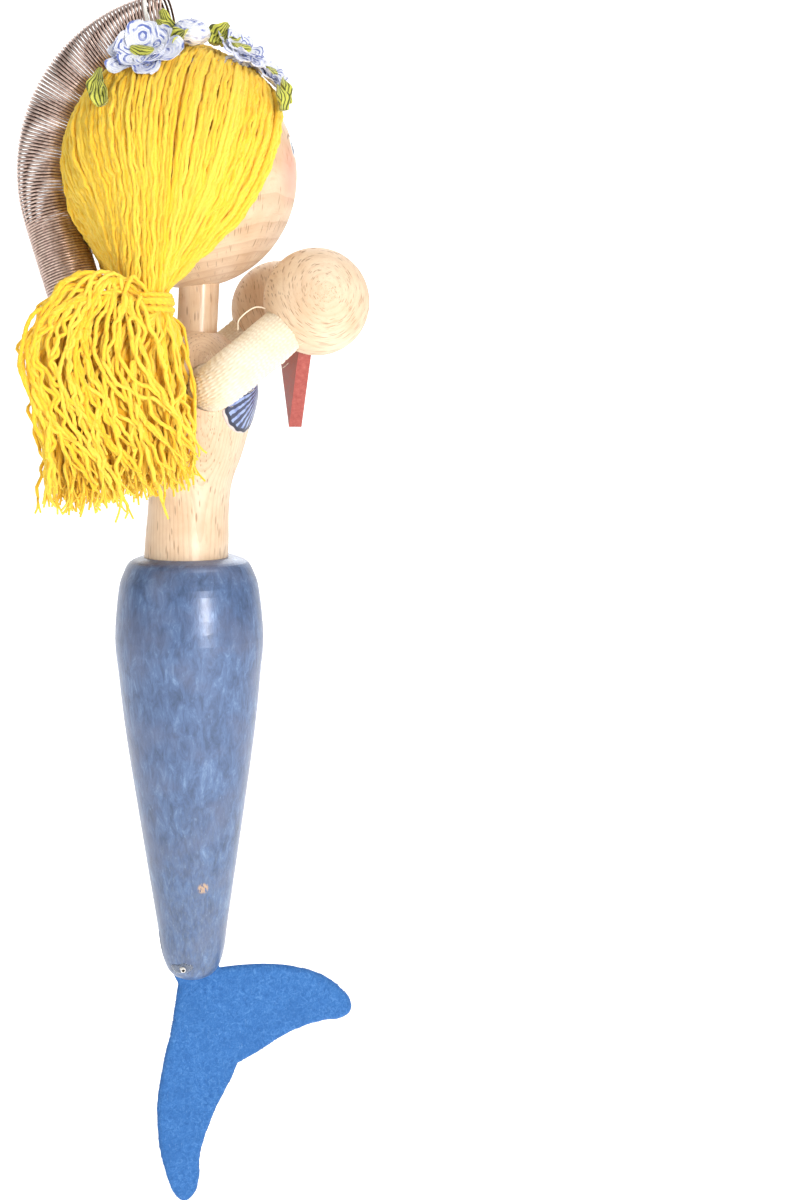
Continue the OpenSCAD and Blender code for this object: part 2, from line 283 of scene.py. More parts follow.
def wood_colour(g, centre, turn, ring, fleck_share, dash, waver_by=1.2, late_by=0.42):
    """Beech: growth rings round an axis, fine pores, and short dashes of the sizes in dash: across the rings
    in millimetres, round them in radians, and along the grain in millimetres. Gives colour and height."""
    local = g.vmath("SUBTRACT", g.place(), Vector(np.array(centre) * MM))
    local = g.mapping(g.mapping(local, scale=(1 / MM, 1 / MM, 1 / MM)), turn=turn)
    x, y, z = g.split(local)
    around = g.math("ARCTAN2", y, x)
    wide = g.add(g.hypot(x, y), g.mul(g.noise(local, 0.07, 2.0), waver_by * ring))
    saw = g.math("FRACT", g.div(wide, ring))
    late = g.mul(g.step(saw, 0.45, 0.96), g.step(saw, 1.0, 0.97))
    soft = g.noise(local, 0.16, 3.0)
    fibre = g.noise(g.join(g.mul(x, 5.0), g.mul(y, 5.0), g.mul(z, 0.35)), 1.0, 3.0)
    streak = g.noise(g.join(g.mul(wide, 3.2), g.mul(around, 4.0), g.mul(z, 0.22)), 1.0, 3.0, 0.65)
    colour = g.mix(g.step(soft, 0.3, 0.75), BEECH_PALE, BEECH_DARK)
    colour = g.mix(g.mul(late, late_by), colour, BEECH_LATE)
    colour = g.mix(g.step(fibre, 0.5, 0.8, 0.0, 0.3), colour, BEECH_FIBRE)
    colour = g.mix(g.step(streak, 0.5, 0.75, 0.0, 0.38), colour, BEECH_STREAK)
    across, round_, along = dash
    cells = g.cells(g.join(g.div(wide, across), g.div(around, round_), g.div(z, along)))
    narrow = g.step(cells["Distance"], 0.20, 0.42, 1.0, 0.0)
    chosen = g.step(g.split(cells["Color"])[0], 1 - fleck_share * 0.45, 1.02 - fleck_share * 0.45)
    fleck = g.mul(narrow, chosen)
    colour = g.mix(g.mul(fleck, 0.5), colour, BEECH_FLECK)
    height = g.sub(g.sub(g.mul(fibre, 0.25), fleck), g.mul(late, 0.3))
    return colour, height


def beech(name, centre, turn, gloss, **wood):
    g = Graph(name, Specular_IOR_Level=0.45)
    colour, height = wood_colour(g, centre, turn, **wood)
    g.out("Base Color", colour)
    g.out("Roughness", g.step(height, -1.0, 0.25, gloss + 0.25, gloss))
    g.out("Normal", g.bump(height, 0.05, 0.7))
    return g.material


def spot(g, direction, size, squeeze=1.0, edge=0.12):
    """1 inside a round patch on the head in that direction, size millimetres in radius, and its u and v."""
    d = unit(direction)
    across = unit(np.cross(UP, d))
    over = np.cross(d, across)
    local = g.vmath("SUBTRACT", g.place(), Vector((HEAD + d * HEAD_R) * MM))
    u = g.div(g.vmath("DOT_PRODUCT", local, Vector(across / MM)), size * squeeze)
    v = g.div(g.vmath("DOT_PRODUCT", local, Vector(over / MM)), size)
    front = g.vmath("DOT_PRODUCT", local, Vector(d / MM))
    inside = g.step(g.hypot(u, v), 1 - edge, 1 + edge, 1.0, 0.0)
    return g.mul(inside, g.step(front, -12.0, -10.0)), u, v


def painted_arc(g, direction, size, rise, bow, low, high):
    """A thin curved brush line inside a patch of the head: its height is rise, and bow bends its ends."""
    inside, u, v = spot(g, direction, size)
    away = g.math("ABSOLUTE", g.add(g.add(v, rise), g.mul(g.mul(u, u), bow)))
    return g.mul(g.step(away, low, high, 1.0, 0.0), inside)


def head_material():
    """The beech ball with a calm painted doll's face: cheeks, eyes with a painted highlight, brows and a
    smile.
    """
    g = Graph("beech_head_painted", Specular_IOR_Level=0.4)
    colour, height = wood_colour(g, HEAD, (0, math.radians(13), 0), ring=2.3, fleck_share=0.6,
                                 dash=(2.6, 0.020, 3.0), waver_by=0.9, late_by=0.30)
    for side in (-1, 1):
        blush = spot(g, (0.84, side * 0.50, -0.02), 4.2, edge=0.75)[0]
        colour = g.mix(g.mul(blush, 0.42), colour, srgb(232, 128, 120))
        # The white of the eye, its iris, its pupil, and a white dot of painted highlight.
        for direction, size, squeeze, paint in (
                ((0.90, side * 0.370, 0.235), 2.10, 0.72, srgb(242, 242, 238)),
                ((0.90, side * 0.365, 0.215), 1.25, 0.85, srgb(86, 112, 150)),
                ((0.90, side * 0.365, 0.215), 0.62, 0.90, srgb(28, 30, 40)),
                ((0.90, side * 0.345, 0.245), 0.30, 1.00, srgb(250, 250, 250))):
            colour = g.mix(spot(g, direction, size, squeeze)[0], colour, paint)
        brow = painted_arc(g, (0.885, side * 0.39, 0.32), 2.6, -0.1, 0.45, 0.05, 0.12)
        colour = g.mix(g.mul(brow, 0.8), colour, srgb(120, 78, 52))
    smile = painted_arc(g, (0.96, 0, -0.2), 3.0, 0.45, -0.6, 0.07, 0.13)
    colour = g.mix(smile, colour, srgb(190, 70, 72))
    g.out("Base Color", colour)
    g.out("Roughness", g.step(height, -1.0, 0.25, 0.62, 0.4))
    g.out("Normal", g.bump(height, 0.04, 0.6))
    return g.material


def tail_material():
    """Blue glaze: pearly, mottled in strokes along the tail, thinner over the grain."""
    g = Graph("tail_blue_glaze", Specular_IOR_Level=0.35, Coat_Weight=0.4, Coat_Roughness=0.26)
    local = g.in_mm()
    x, y, z = g.split(local)
    strokes = g.noise(g.mapping(local, turn=(0, 0.18, 0), scale=(0.55, 0.55, 0.22)), 1.0, 6.0, 0.72, 0.5)
    cloud = g.noise(local, 0.11, 3.0)
    fine = g.noise(g.mapping(local, scale=(2.2, 2.2, 0.7)), 1.0, 4.0, 0.7)
    colour = g.ramp(strokes, (0.30, srgb(60, 78, 108)), (0.46, srgb(77, 98, 136)), (0.57, srgb(88, 113, 154)),
                    (0.72, srgb(120, 147, 184)))
    colour = g.mix(g.step(cloud, 0.40, 0.72, 0.0, 0.6), colour, srgb(98, 106, 134))
    low = g.step(z, -175.0, -125.0, 0.35, 0.0)
    colour = g.mix(g.mul(low, g.step(fine, 0.35, 0.7)), colour, srgb(122, 134, 146))
    flake = g.step(fine, 0.60, 0.76, 0.0, 0.45)
    colour = g.mix(flake, colour, srgb(134, 166, 206))
    chip_at = g.vmath("DISTANCE", local, (0.8, -8.4, -161.3))
    chip = g.mul(g.step(chip_at, 0.7, 1.4, 1.0, 0.0), g.step(fine, 0.40, 0.52))
    colour = g.mix(chip, colour, srgb(190, 160, 134))
    pores = g.noise(g.mapping(local, scale=(3.2, 3.2, 0.35)), 1.0, 3.0, 0.6)
    height = g.add(g.mul(fine, 0.5), g.mul(pores, 0.7))
    height = g.sub(height, chip)
    g.out("Base Color", colour)
    g.out("Metallic", 0.12)
    g.out("Roughness", g.step(fine, 0.3, 0.8, 0.30, 0.48))
    g.out("Normal", g.bump(height, 0.10, 0.55))
    return g.material


def heart_material():
    g = Graph("heart_red_paint", Specular_IOR_Level=0.4)
    local = g.in_mm()
    wear = g.noise(g.mapping(local, scale=(1.2, 0.5, 1.6)), 1.0, 5.0, 0.65)
    colour = g.ramp(wear, (0.3, srgb(152, 66, 60)), (0.55, srgb(170, 84, 76)), (0.8, srgb(190, 108, 98)))
    g.out("Base Color", colour)
    g.out("Roughness", g.step(wear, 0.3, 0.8, 0.42, 0.62))
    g.out("Normal", g.bump(wear, 0.06, 0.5))
    return g.material


def shell_material(side):
    """Printed scallop: ribs fan out from a hinge point, with a dark outline and a thin pale border."""
    g = Graph(f"shell_print_{side}", Specular_IOR_Level=0.5, Coat_Weight=0.3, Coat_Roughness=0.15)
    low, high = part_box("shell_" + side)
    centre = (low + high) / 2
    radius = (high.z - low.z) / 2
    sign = -1 if side == "right" else 1
    out = np.array([math.cos(SHELL_TURN), sign * math.sin(SHELL_TURN), 0.0])
    across = np.cross(UP, out)
    local = g.vmath("SUBTRACT", g.place(), centre)
    u = g.div(g.vmath("DOT_PRODUCT", local, Vector(across)), radius)
    v = g.div(g.vmath("DOT_PRODUCT", local, Vector(UP)), radius)
    # The hinge of the scallop is high on the inner side, and its ribs fan outwards from it.
    hinge_u, hinge_v = sign * -0.95, 0.55
    du = g.sub(u, hinge_u)
    dv = g.sub(v, hinge_v)
    away = g.hypot(du, dv)
    angle = g.math("ARCTAN2", dv, du)
    waver = g.noise(g.in_mm(), 0.9, 2.0)
    rib = g.math("SINE", g.add(g.mul(angle, 44.0), g.mul(waver, 3.0)))
    line = g.step(rib, -0.45, 0.1)
    growth = g.math("SINE", g.add(g.mul(away, 15.0), g.mul(waver, 3.0)))
    colour = g.mix(g.step(growth, 0.3, 0.9, 0.0, 0.55), srgb(150, 168, 214), srgb(98, 116, 176))
    colour = g.mix(g.mul(line, 0.92), colour, srgb(28, 34, 66))
    rim = g.hypot(u, v)
    wave = g.mul(g.math("SINE", g.mul(g.math("ARCTAN2", v, u), 14.0)), 0.018)
    rim = g.add(rim, wave)
    colour = g.mix(g.step(rim, 0.84, 0.88), colour, srgb(26, 30, 56))
    colour = g.mix(g.step(rim, 0.95, 0.98), colour, srgb(214, 200, 196))
    g.out("Base Color", colour)
    g.out("Roughness", 0.32)
    g.out("Normal", g.bump(line, 0.03, 0.4))
    return g.material


def dress_cad_nodes():
    """The CAD nodes that keep their shape get their materials."""
    hand = {"turn": (math.radians(76), 0, math.radians(10)), "gloss": 0.5, "ring": 1.4, "fleck_share": 1.2,
            "dash": (0.24, 0.36, 1.6), "waver_by": 1.3, "late_by": 0.16}
    materials = {
        "head": head_material(),
        "neck_dowel": beech("beech_dowel", middle("neck_dowel") + [7, 3, 0], (0, 0, 0), gloss=0.24, ring=1.6,
                            fleck_share=0.45, dash=(0.5, 0.05, 3.0)),
        "torso": beech("beech_torso", [1.7, -11.2, -62.0], (math.radians(4), 0, 0), gloss=0.36, ring=0.8,
                       fleck_share=0.7, dash=(0.4, 0.12, 3.0), waver_by=0.7, late_by=0.26),
        "hand_right": beech("beech_hand_right", middle("hand_right") + [-0.6, 0, 3.6], **hand),
        "hand_left": beech("beech_hand_left", middle("hand_left") + [6, 0, 5], **hand),
        "tail": tail_material(),
        "heart": heart_material(),
        "shell_right": shell_material("right"),
        "shell_left": shell_material("left"),
    }
    for name, material in materials.items():
        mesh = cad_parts[name].data
        mesh.materials.clear()
        mesh.materials.append(material)


dress_cad_nodes()


# ---------------------------------------------------------------- soft materials
def yarn_material():
    """Twisted yarn: painted shade darkens the grooves between plies, each strand a little different, with
    fine fibres.
    """
    g = Graph("yarn_yellow", Roughness=0.8, Specular_IOR_Level=0.25, Sheen_Weight=0.6, Sheen_Roughness=0.5)
    g.shader.inputs["Sheen Tint"].default_value = srgb(255, 236, 150)
    g.shader.inputs["Subsurface Weight"].default_value = 0.18
    g.shader.inputs["Subsurface Radius"].default_value = (1.0, 0.7, 0.2)
    g.shader.inputs["Subsurface Scale"].default_value = 0.0012
    local = g.in_mm()
    fibre = g.noise(local, 3.2, 4.0, 0.7)
    colour = g.mix(g.attribute("tint"), srgb(255, 219, 84), srgb(251, 197, 46))
    # Painted shade: darker orange in the grooves between plies.
    colour = g.mix(g.mul(g.attribute("groove"), 0.30), colour, srgb(238, 172, 34))
    colour = g.mix(g.step(fibre, 0.45, 0.75, 0.0, 0.3), colour, srgb(255, 226, 110))
    g.out("Base Color", colour)
    g.out("Normal", g.bump(fibre, 0.12, 0.5))
    return g.material


def ribbon_material(name, ground, thin, line, share):
    """Woven trim: wavy lines that run along it, over a fine weave."""
    g = Graph(name, Roughness=0.62, Specular_IOR_Level=0.35, Sheen_Weight=0.25, Sheen_Roughness=0.4)
    local = g.in_mm()
    waver = g.noise(local, 0.8, 2.0)
    band = g.add(g.attribute("band"), g.mul(waver, 0.16))
    waves = g.math("SINE", g.mul(band, 34.0))
    fine = g.math("SINE", g.mul(band, 82.0))
    patch = g.noise(local, 0.42, 1.0)
    colour = g.mix(g.step(fine, 0.1, 0.7, 0.0, 0.55), ground, thin)
    stripe = g.mul(g.step(waves, 0.15, 0.6), g.step(patch, *share))
    colour = g.mix(g.mul(stripe, 0.9), colour, line)
    cells = g.cells(g.mapping(local, scale=(3.4, 3.4, 3.4)))["Distance"]
    height = g.add(g.mul(fine, 0.5), g.mul(cells, -0.9))
    g.out("Base Color", colour)
    g.out("Normal", g.bump(height, 0.12, 0.6))
    return g.material


def rope_material():
    g = Graph("rope_cotton", Roughness=0.85, Specular_IOR_Level=0.2, Sheen_Weight=0.3, Sheen_Roughness=0.5)
    local = g.in_mm()
    soil = g.noise(local, 0.25, 3.0)
    fibre = g.noise(local, 3.6, 4.0, 0.7)
    colour = g.mix(g.step(soil, 0.35, 0.75), srgb(250, 241, 222), srgb(243, 230, 205))
    # Painted shade: darker in the low places between the stitches.
    colour = g.mix(g.mul(g.attribute("groove"), 0.6), colour, srgb(208, 182, 146))
    colour = g.mix(g.step(fibre, 0.5, 0.8, 0.0, 0.35), colour, srgb(255, 248, 228))
    g.out("Base Color", colour)
    g.out("Normal", g.bump(fibre, 0.10, 0.5))
    return g.material


def cord_material():
    g = Graph("cord_white", Roughness=0.6, Specular_IOR_Level=0.3, Sheen_Weight=0.2)
    local = g.in_mm()
    fibre = g.noise(local, 4.0, 3.0)
    # Painted shade: darker in the grooves between the plies.
    colour = g.mix(g.mul(g.attribute("groove"), 0.4), srgb(248, 246, 240), srgb(196, 190, 180))
    g.out("Base Color", colour)
    g.out("Normal", g.bump(fibre, 0.05, 0.4))
    return g.material


def felt_material():
    """Dense felt: matted fibres, small pills and slightly darker pressed places."""
    g = Graph("felt_blue", Roughness=0.92, Specular_IOR_Level=0.15, Sheen_Weight=0.3, Sheen_Roughness=0.4)
    g.shader.inputs["Sheen Tint"].default_value = srgb(130, 170, 220)
    local = g.in_mm()
    mat = g.noise(local, 1.1, 6.0, 0.75, 1.2)
    cloud = g.noise(local, 0.22, 3.0)
    fibres = g.noise(g.mapping(local, turn=(0, 0.7, 0), scale=(5.0, 1.0, 1.2)), 1.0, 3.0, 0.6, 1.5)
    colour = g.ramp(mat, (0.32, srgb(46, 92, 154)), (0.5, srgb(60, 112, 178)), (0.68, srgb(86, 138, 198)))
    colour = g.mix(g.step(cloud, 0.4, 0.7, 0.0, 0.4), colour, srgb(52, 102, 166))
    colour = g.mix(g.step(fibres, 0.58, 0.72, 0.0, 0.4), colour, srgb(122, 166, 214))
    g.out("Base Color", colour)
    g.out("Normal", g.bump(g.add(mat, g.mul(fibres, 0.6)), 0.22, 0.8))
    return g.material


def steel_material():
    g = Graph("spring_wire", Metallic=0.8)
    local = g.in_mm()
    drawn = g.noise(local, 1.4, 3.0, 0.6)
    colour = g.mix(g.step(drawn, 0.35, 0.7), srgb(220, 196, 184), srgb(184, 154, 142))
    # Painted shade: each turn's inner side, facing the coil's middle, is painted dark brown.
    g.out("Base Color", g.mix(g.attribute("inner"), colour, srgb(70, 46, 40)))
    g.out("Roughness", g.step(drawn, 0.3, 0.8, 0.28, 0.40))
    return g.material


YARN = yarn_material()
RIBBON = ribbon_material("ribbon_blue_white", srgb(240, 242, 250), srgb(194, 204, 238), srgb(74, 100, 186),
                         share=(0.40, 0.58))
LEAF = ribbon_material("ribbon_green", srgb(214, 214, 96), srgb(184, 190, 72), srgb(58, 66, 30),
                       share=(0.10, 0.25))
ROPE = rope_material()
CORD = cord_material()
FELT = felt_material()
STEEL = steel_material()


# ---------------------------------------------------------------- mesh helpers
def distance_along(line):
    """How far along a line each of its points is."""
    return np.concatenate([[0], np.cumsum(np.linalg.norm(np.diff(line, axis=0), axis=1))])


def even(points, gap):
    """The same line with points about gap apart."""
    points = np.asarray(points, float)
    length = distance_along(points)
    at = np.linspace(0, length[-1], max(3, int(round(length[-1] / gap)) + 1))
    return np.stack([np.interp(at, length, points[:, i]) for i in range(3)], 1)


def smooth_line(points, gap):
    """A Catmull-Rom curve through the points, as evenly spaced points."""
    p = np.asarray(points, float)
    p = np.vstack([2 * p[0] - p[1], p, 2 * p[-1] - p[-2]])
    t = np.linspace(0, 1, 12, endpoint=False)[:, None]
    line = [0.5 * (2 * b + (c - a) * t + (2 * a - 5 * b + 4 * c - d) * t**2 + (3 * b - a - 3 * c + d) * t**3)
            for a, b, c, d in zip(p[:-3], p[1:-2], p[2:-1], p[3:])]
    return even(np.vstack(line + [p[-2:-1]]), gap)


def full_turn(count):
    """That many angles round a circle."""
    return np.linspace(0, 2 * np.pi, count, endpoint=False)


def with_ends(rows):
    """The rows with the first and the last one doubled, for the rings that close a tube's ends."""
    return np.concatenate([rows[:1], rows, rows[-1:]])


def close_ends(points):
    """Rings of points with a small ring more at each end, drawn in to the middle of the end."""
    first, last = points[:1], points[-1:]
    return np.concatenate([first * 0.05 + first.mean(1, keepdims=True) * 0.95, points,
                           last * 0.05 + last.mean(1, keepdims=True) * 0.95])


def frames(line, start=None):
    """Two directions across the line at each point, carried along it without twist."""
    along = unit(np.gradient(line, axis=0))
    first = np.array(start if start is not None else (0.3, 0.9, 0.31), float)
    across = np.empty_like(line)
    across[0] = unit(first - along[0] * (first @ along[0]))
    for i in range(1, len(line)):
        v = across[i - 1] - along[i] * (across[i - 1] @ along[i])
        across[i] = v / np.linalg.norm(v)
    return along, across, np.cross(along, across)


class Cloth:
    """Vertices, quads and per-vertex numbers, gathered from many strands and made into one mesh."""

    def __init__(self):
        self.points, self.faces, self.numbers, self.count = [], [], {}, 0

    def add(self, points, faces, **numbers):
        self.points.append(points)
        self.faces.append(np.asarray(faces) + self.count)
        self.count += len(points)
        for key, value in numbers.items():
            self.numbers.setdefault(key, []).append(np.broadcast_to(value, len(points)).astype(np.float32))

    def make(self, name, material):
        mesh = bpy.data.meshes.new(name)
        points = np.vstack(self.points) * MM
        faces = np.vstack(self.faces)
        mesh.vertices.add(len(points))
        mesh.vertices.foreach_set("co", points.astype(np.float32).ravel())
        mesh.loops.add(faces.size)
        mesh.loops.foreach_set("vertex_index", faces.astype(np.int32).ravel())
        mesh.polygons.add(len(faces))
        mesh.polygons.foreach_set("loop_start", np.arange(0, faces.size, faces.shape[1], dtype=np.int32))
        mesh.polygons.foreach_set("use_smooth", np.ones(len(faces), bool))
        mesh.update(calc_edges=True)
        mesh.validate()
        for key, values in self.numbers.items():
            mesh.attributes.new(key, "FLOAT", "POINT").data.foreach_set("value", np.concatenate(values))
        mesh.materials.append(material)
        made = bpy.data.objects.new(name, mesh)
        bpy.context.scene.collection.objects.link(made)
        return made


def grid_faces(rows, cols, closed=True):
    """Quads of a grid whose columns go round when closed."""
    i = np.arange(rows - 1)[:, None] * cols
    j = np.arange(cols if closed else cols - 1)[None, :]
    k = (j + 1) % cols
    return np.stack([i + j, i + k, i + cols + k, i + cols + j], -1).reshape(-1, 4)


def tube(line, radius, sides, start=None):
    """A round tube along a line, its ends drawn in to close them."""
    _, a, b = frames(line, start)
    turn = full_turn(sides)
    ring = np.cos(turn)[None, :, None] * a[:, None] + np.sin(turn)[None, :, None] * b[:, None]
    radius = np.broadcast_to(radius, (len(line),) if np.ndim(radius) < 2 else (len(line), sides))
    radius = radius[..., None] if radius.ndim == 2 else radius[:, None, None]
    body = line[:, None] + ring * radius
    first = body[:1] * 0.02 + line[0] * 0.98
    last = body[-1:] * 0.02 + line[-1] * 0.98
    body = np.concatenate([first, body, last])
    return body.reshape(-1, 3), grid_faces(len(body), sides)


def ply(cloth, line, radius, pitch, plies=2, sides=8, tint=0.5, depth=0.34, phase=0.0, ends=0.0):
    """A twisted yarn along a line: its section has a lobe for each ply, turning once every pitch.
    ends is how much it thins out over its last two millimetres."""
    at = distance_along(line)
    groove = 0.5 - 0.5 * np.cos(plies * (full_turn(sides) - (2 * np.pi * at / pitch)[:, None] - phase))
    size = np.full(len(line), float(radius))
    if ends:
        size = size * (1 - ends * np.clip(1 - (at[-1] - at) / 2.0, 0, 1))
    points, faces = tube(line, size[:, None] * (1 - depth * groove), sides)
    # The groove profile goes with the yarn, and the materials paint it as shade.
    cloth.add(points, faces, tint=tint, groove=with_ends(groove).ravel())


def finish_piece(made, body, slot_name, *nodes):
    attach(made, body)
    if nodes:
        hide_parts(*nodes)


# ---------------------------------------------------------------- spring
COIL_MID = COIL_R - WIRE_R
INNER_R = BEND_R - COIL_R
TURN_LENGTH = 2 * WIRE_R * 1.04
PER_TURN = 30
WIRE_SIDES = 6
CORD_GAP = 0.9    # degrees of the bend that the cord round the first coils takes up


def bend_point(turn, radius):
    """A point of the spring's plane, at that angle from the crown and radius from the head's middle."""
    turn = np.radians(np.asarray(turn, float))[..., None]
    return HEAD + radius * (np.sin(turn) * BACK + np.cos(turn) * UP)


def coil_on_bend(low, high):
    """The wire's line between two angles of the bend; coils touch on the inner side."""
    turns = math.radians(high - low) * INNER_R / TURN_LENGTH
    t = np.linspace(0, 1, int(turns * PER_TURN) + 1)
    at = low + (high - low) * t
    phase = 2 * np.pi * np.radians(at - BEND_START) * INNER_R / TURN_LENGTH
    middle_line = bend_point(at, BEND_R)
    outward = unit(middle_line - HEAD)
    return middle_line + COIL_MID * (np.cos(phase)[:, None] * outward + np.sin(phase)[:, None] * SIDE)


def wire(cloth, line):
    """The spring's wire, with the share of each point that faces the middle of the coil, for the painted
    shade inside the coil.
    """
    points, faces = tube(line, WIRE_R, WIRE_SIDES, start=SIDE)
    # The coil's axis is the mean of the wire over one turn.
    window = min(PER_TURN, len(line) - 1)
    before = np.repeat(line[:1], window // 2, 0)
    after = np.repeat(line[-1:], window - window // 2 - 1, 0)
    total = np.cumsum(np.vstack([np.zeros(3), before, line, after]), axis=0)
    axis = (total[window:] - total[:-window]) / window
    radial = unit(line - axis + 1e-6)
    offset = points.reshape(-1, WIRE_SIDES, 3)[1:-1] - line[:, None]
    # How much each point faces the coil's middle: the steel paints that much shade there.
    inner = np.clip(0.3 - 1.3 * np.einsum("ijk,ik->ij", unit(offset), radial), 0, 1)
    cloth.add(points, faces, inner=with_ends(inner).ravel())


def make_spring():
    for k in range(2, 7):
        low = BEND_START + (k - 2) * BEND_STEP
        high = low + BEND_STEP
        cloth = Cloth()
        wire(cloth, coil_on_bend(low + (CORD_GAP if k == 2 else 0.0), high))
        made = cloth.make(f"coil_{k - 1}", STEEL)
        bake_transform(made)
        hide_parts(*([f"spring_{k}", "spring_1"] if k == 2 else [f"spring_{k}"]))
    cloth = Cloth()
    wire(cloth, coil_on_bend(BEND_START - 6.1, BEND_START - CORD_GAP))
    finish_piece(cloth.make("coil_end", STEEL), "spring_1", "spring_steel", "spring_end")
    make_straight()


def make_straight():
    start = bend_point(BEND_END, BEND_R)
    outward = unit(start - HEAD)
    down = np.cross(SIDE, outward)
    down = down if down[2] < 0 else -down
    turns = STRAIGHT / TURN_LENGTH
    t = np.linspace(0, 1, int(turns * PER_TURN) + 1)
    phase = 2 * np.pi * (np.radians(BEND_END - BEND_START) * INNER_R + STRAIGHT * t) / TURN_LENGTH
    line = start + down * STRAIGHT * t[:, None]
    line = line + COIL_MID * (np.cos(phase)[:, None] * outward + np.sin(phase)[:, None] * SIDE)
    cloth = Cloth()
    wire(cloth, line)
    made = cloth.make("coil_straight", STEEL)
    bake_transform(made)
    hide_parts("spring_straight")
    # The last turns of wire bend up side by side into the eye.
    centre = start + down * (STRAIGHT + COIL_R + EYE_GAP)
    turn = np.linspace(-np.pi / 2, 3.4 * np.pi, 110)
    shift = np.linspace(-WIRE_R, WIRE_R, len(turn))
    ring = centre + COIL_MID * (np.cos(turn)[:, None] * outward - np.sin(turn)[:, None] * down)
    ring = ring + SIDE * shift[:, None]
    joined = np.vstack([line[-1] + (ring[0] - line[-1]) * s for s in np.linspace(0, 0.9, 8)])
    cloth = Cloth()
    wire(cloth, smooth_line(np.vstack([joined[::3], ring[3::4]]), 0.6))
    finish_piece(cloth.make("coil_eye", STEEL), "spring_eye", "spring_steel", "spring_eye")


make_spring()


# ---------------------------------------------------------------- hair
FIBRE_R = 0.035
STRANDS = 330
STRAND_R = 0.46
STRAND_GAP = 0.85
GOLDEN_TURN = 2.399963
BACK_RISE = 9.0
FLAT = np.array([1, 0.6, 1])    # the pigtails hang flatter from side to side


def clear_of_spring(points, room):
    """Points of the hair, pressed towards the head where the spring lies on it."""
    local = points - HEAD
    beside = local @ SIDE
    flat = local - beside[:, None] * SIDE
    reach = np.linalg.norm(flat, axis=1)
    need = COIL_R + room
    touching = np.abs(beside) < need
    limit = BEND_R - np.sqrt(np.maximum(need**2 - beside**2, 0))
    push = touching & (reach > limit) & (flat @ BACK > 0) & (local[:, 2] > -12)
    scale = np.where(push, limit / np.maximum(reach, 1e-6), 1.0)
    return HEAD + beside[:, None] * SIDE + flat * scale[:, None]


def hair_line(side, turn, radius, fill, share):
    """One strand: from the parting, over the head towards the tie, and straight in once it leaves the head.
    turn is its place along the parting, fill its share of the tie's width, and share its place in the row."""
    sign = -1 if side == "right" else 1
    gather = TIE[side] - HEAD
    reach = np.linalg.norm(gather)
    towards = gather / reach
    a = math.radians(turn)
    begin = unit(np.array([math.sin(a), sign * -0.012, math.cos(a)]))
    open_angle = math.acos(np.clip(begin @ towards, -1, 1))
    leave = math.acos(radius / reach)
    sideways = unit(towards - begin * math.cos(open_angle))
    on_head = np.linspace(0, max(open_angle - leave, 0.05), 18)
    arc = np.cos(on_head)[:, None] * begin + np.sin(on_head)[:, None] * sideways
    # The strands at the face fall a little behind the shortest way to the tie.
    normal = unit(np.cross(begin, towards))
    normal = normal if normal[0] > 0 else -normal
    fall = 0.12 * np.clip(1 - share / 0.8, 0, 1) * np.sin(np.pi * (on_head / on_head[-1]) ** 0.85)
    arc = unit(arc - normal * fall[:, None])
    rise = 1 + 0.055 * math.exp(-((turn - 4) / 22) ** 2) * np.exp(-on_head / 0.4)
    arc = arc * (radius * rise)[:, None]
    flat = arc[-1] - gather
    flat = unit(np.array([flat[0], flat[1], 0]))
    top = gather + [0, 0, TIE_H / 2 + 0.6] + flat * (TIE_R - 1.3) * fill
    through = gather + [0, 0, -TIE_H / 2] + flat * (TIE_R - 1.9) * fill
    line = np.vstack([arc, top * 0.75 + arc[-1] * 0.25, top, through])
    return line + HEAD


def crimp(line, gap, size):
    """The small waves that yarn keeps from its twist."""
    at = np.arange(len(line))[:, None] * gap
    waves = sum(RNG.normal(0, 1, 3) * np.sin(2 * np.pi * at / RNG.uniform(*band) + RNG.uniform(0, 6))
                for band in ((3.5, 6.0), (6.0, 11.0)))
    hold = np.minimum(1, np.minimum(at, at[::-1]) / 2.5)
    return line + waves * size * hold


def parting(share):
    """The angle along the parting, from the face to the nape, of a strand at that share of the row."""
    return 42 - 171 * share


def make_hair(side):
    # For each layer: radius, share of the tie's width, strands, their radius, sides, point gap and waves.
    layers = (("under", HEAD_R + 0.84, 0.5, 150, 0.62, 5, 0.90, 0.06),
              ("over", HEAD_R + 1.2, 0.9, 172, 0.47, 6, 0.66, 0.12))
    for name, radius, fill, count, thick, sides, gap, wave in layers:
        cloth = Cloth()
        for i in range(count):
            share = (i + RNG.uniform(-0.3, 0.3)) / count
            thin = 0.62 * (radius - HEAD_R) * np.clip((share - 0.45) / 0.4, 0, 1)
            line = hair_line(side, parting(share), radius - thin + RNG.uniform(-0.1, 0.3),
                             fill * RNG.uniform(0.75, 1.1), share)
            sway = np.sin(np.linspace(0, np.pi, len(line)))[:, None] * RNG.normal(0, 0.30, 3)
            line = clear_of_spring(crimp(smooth_line(line + sway, gap), gap, wave), thick)
            ply(cloth, line, thick * RNG.uniform(0.88, 1.12), pitch=RNG.uniform(1.9, 2.5), sides=sides,
                tint=RNG.uniform(0, 1), phase=RNG.uniform(0, 6))
            if name == "over":
                stray_fibres(cloth, line, thick, 5)
        finish_piece(cloth.make(f"yarn_hair_{name}_{side}", YARN), "figure", "yarn", f"hair_{side}")


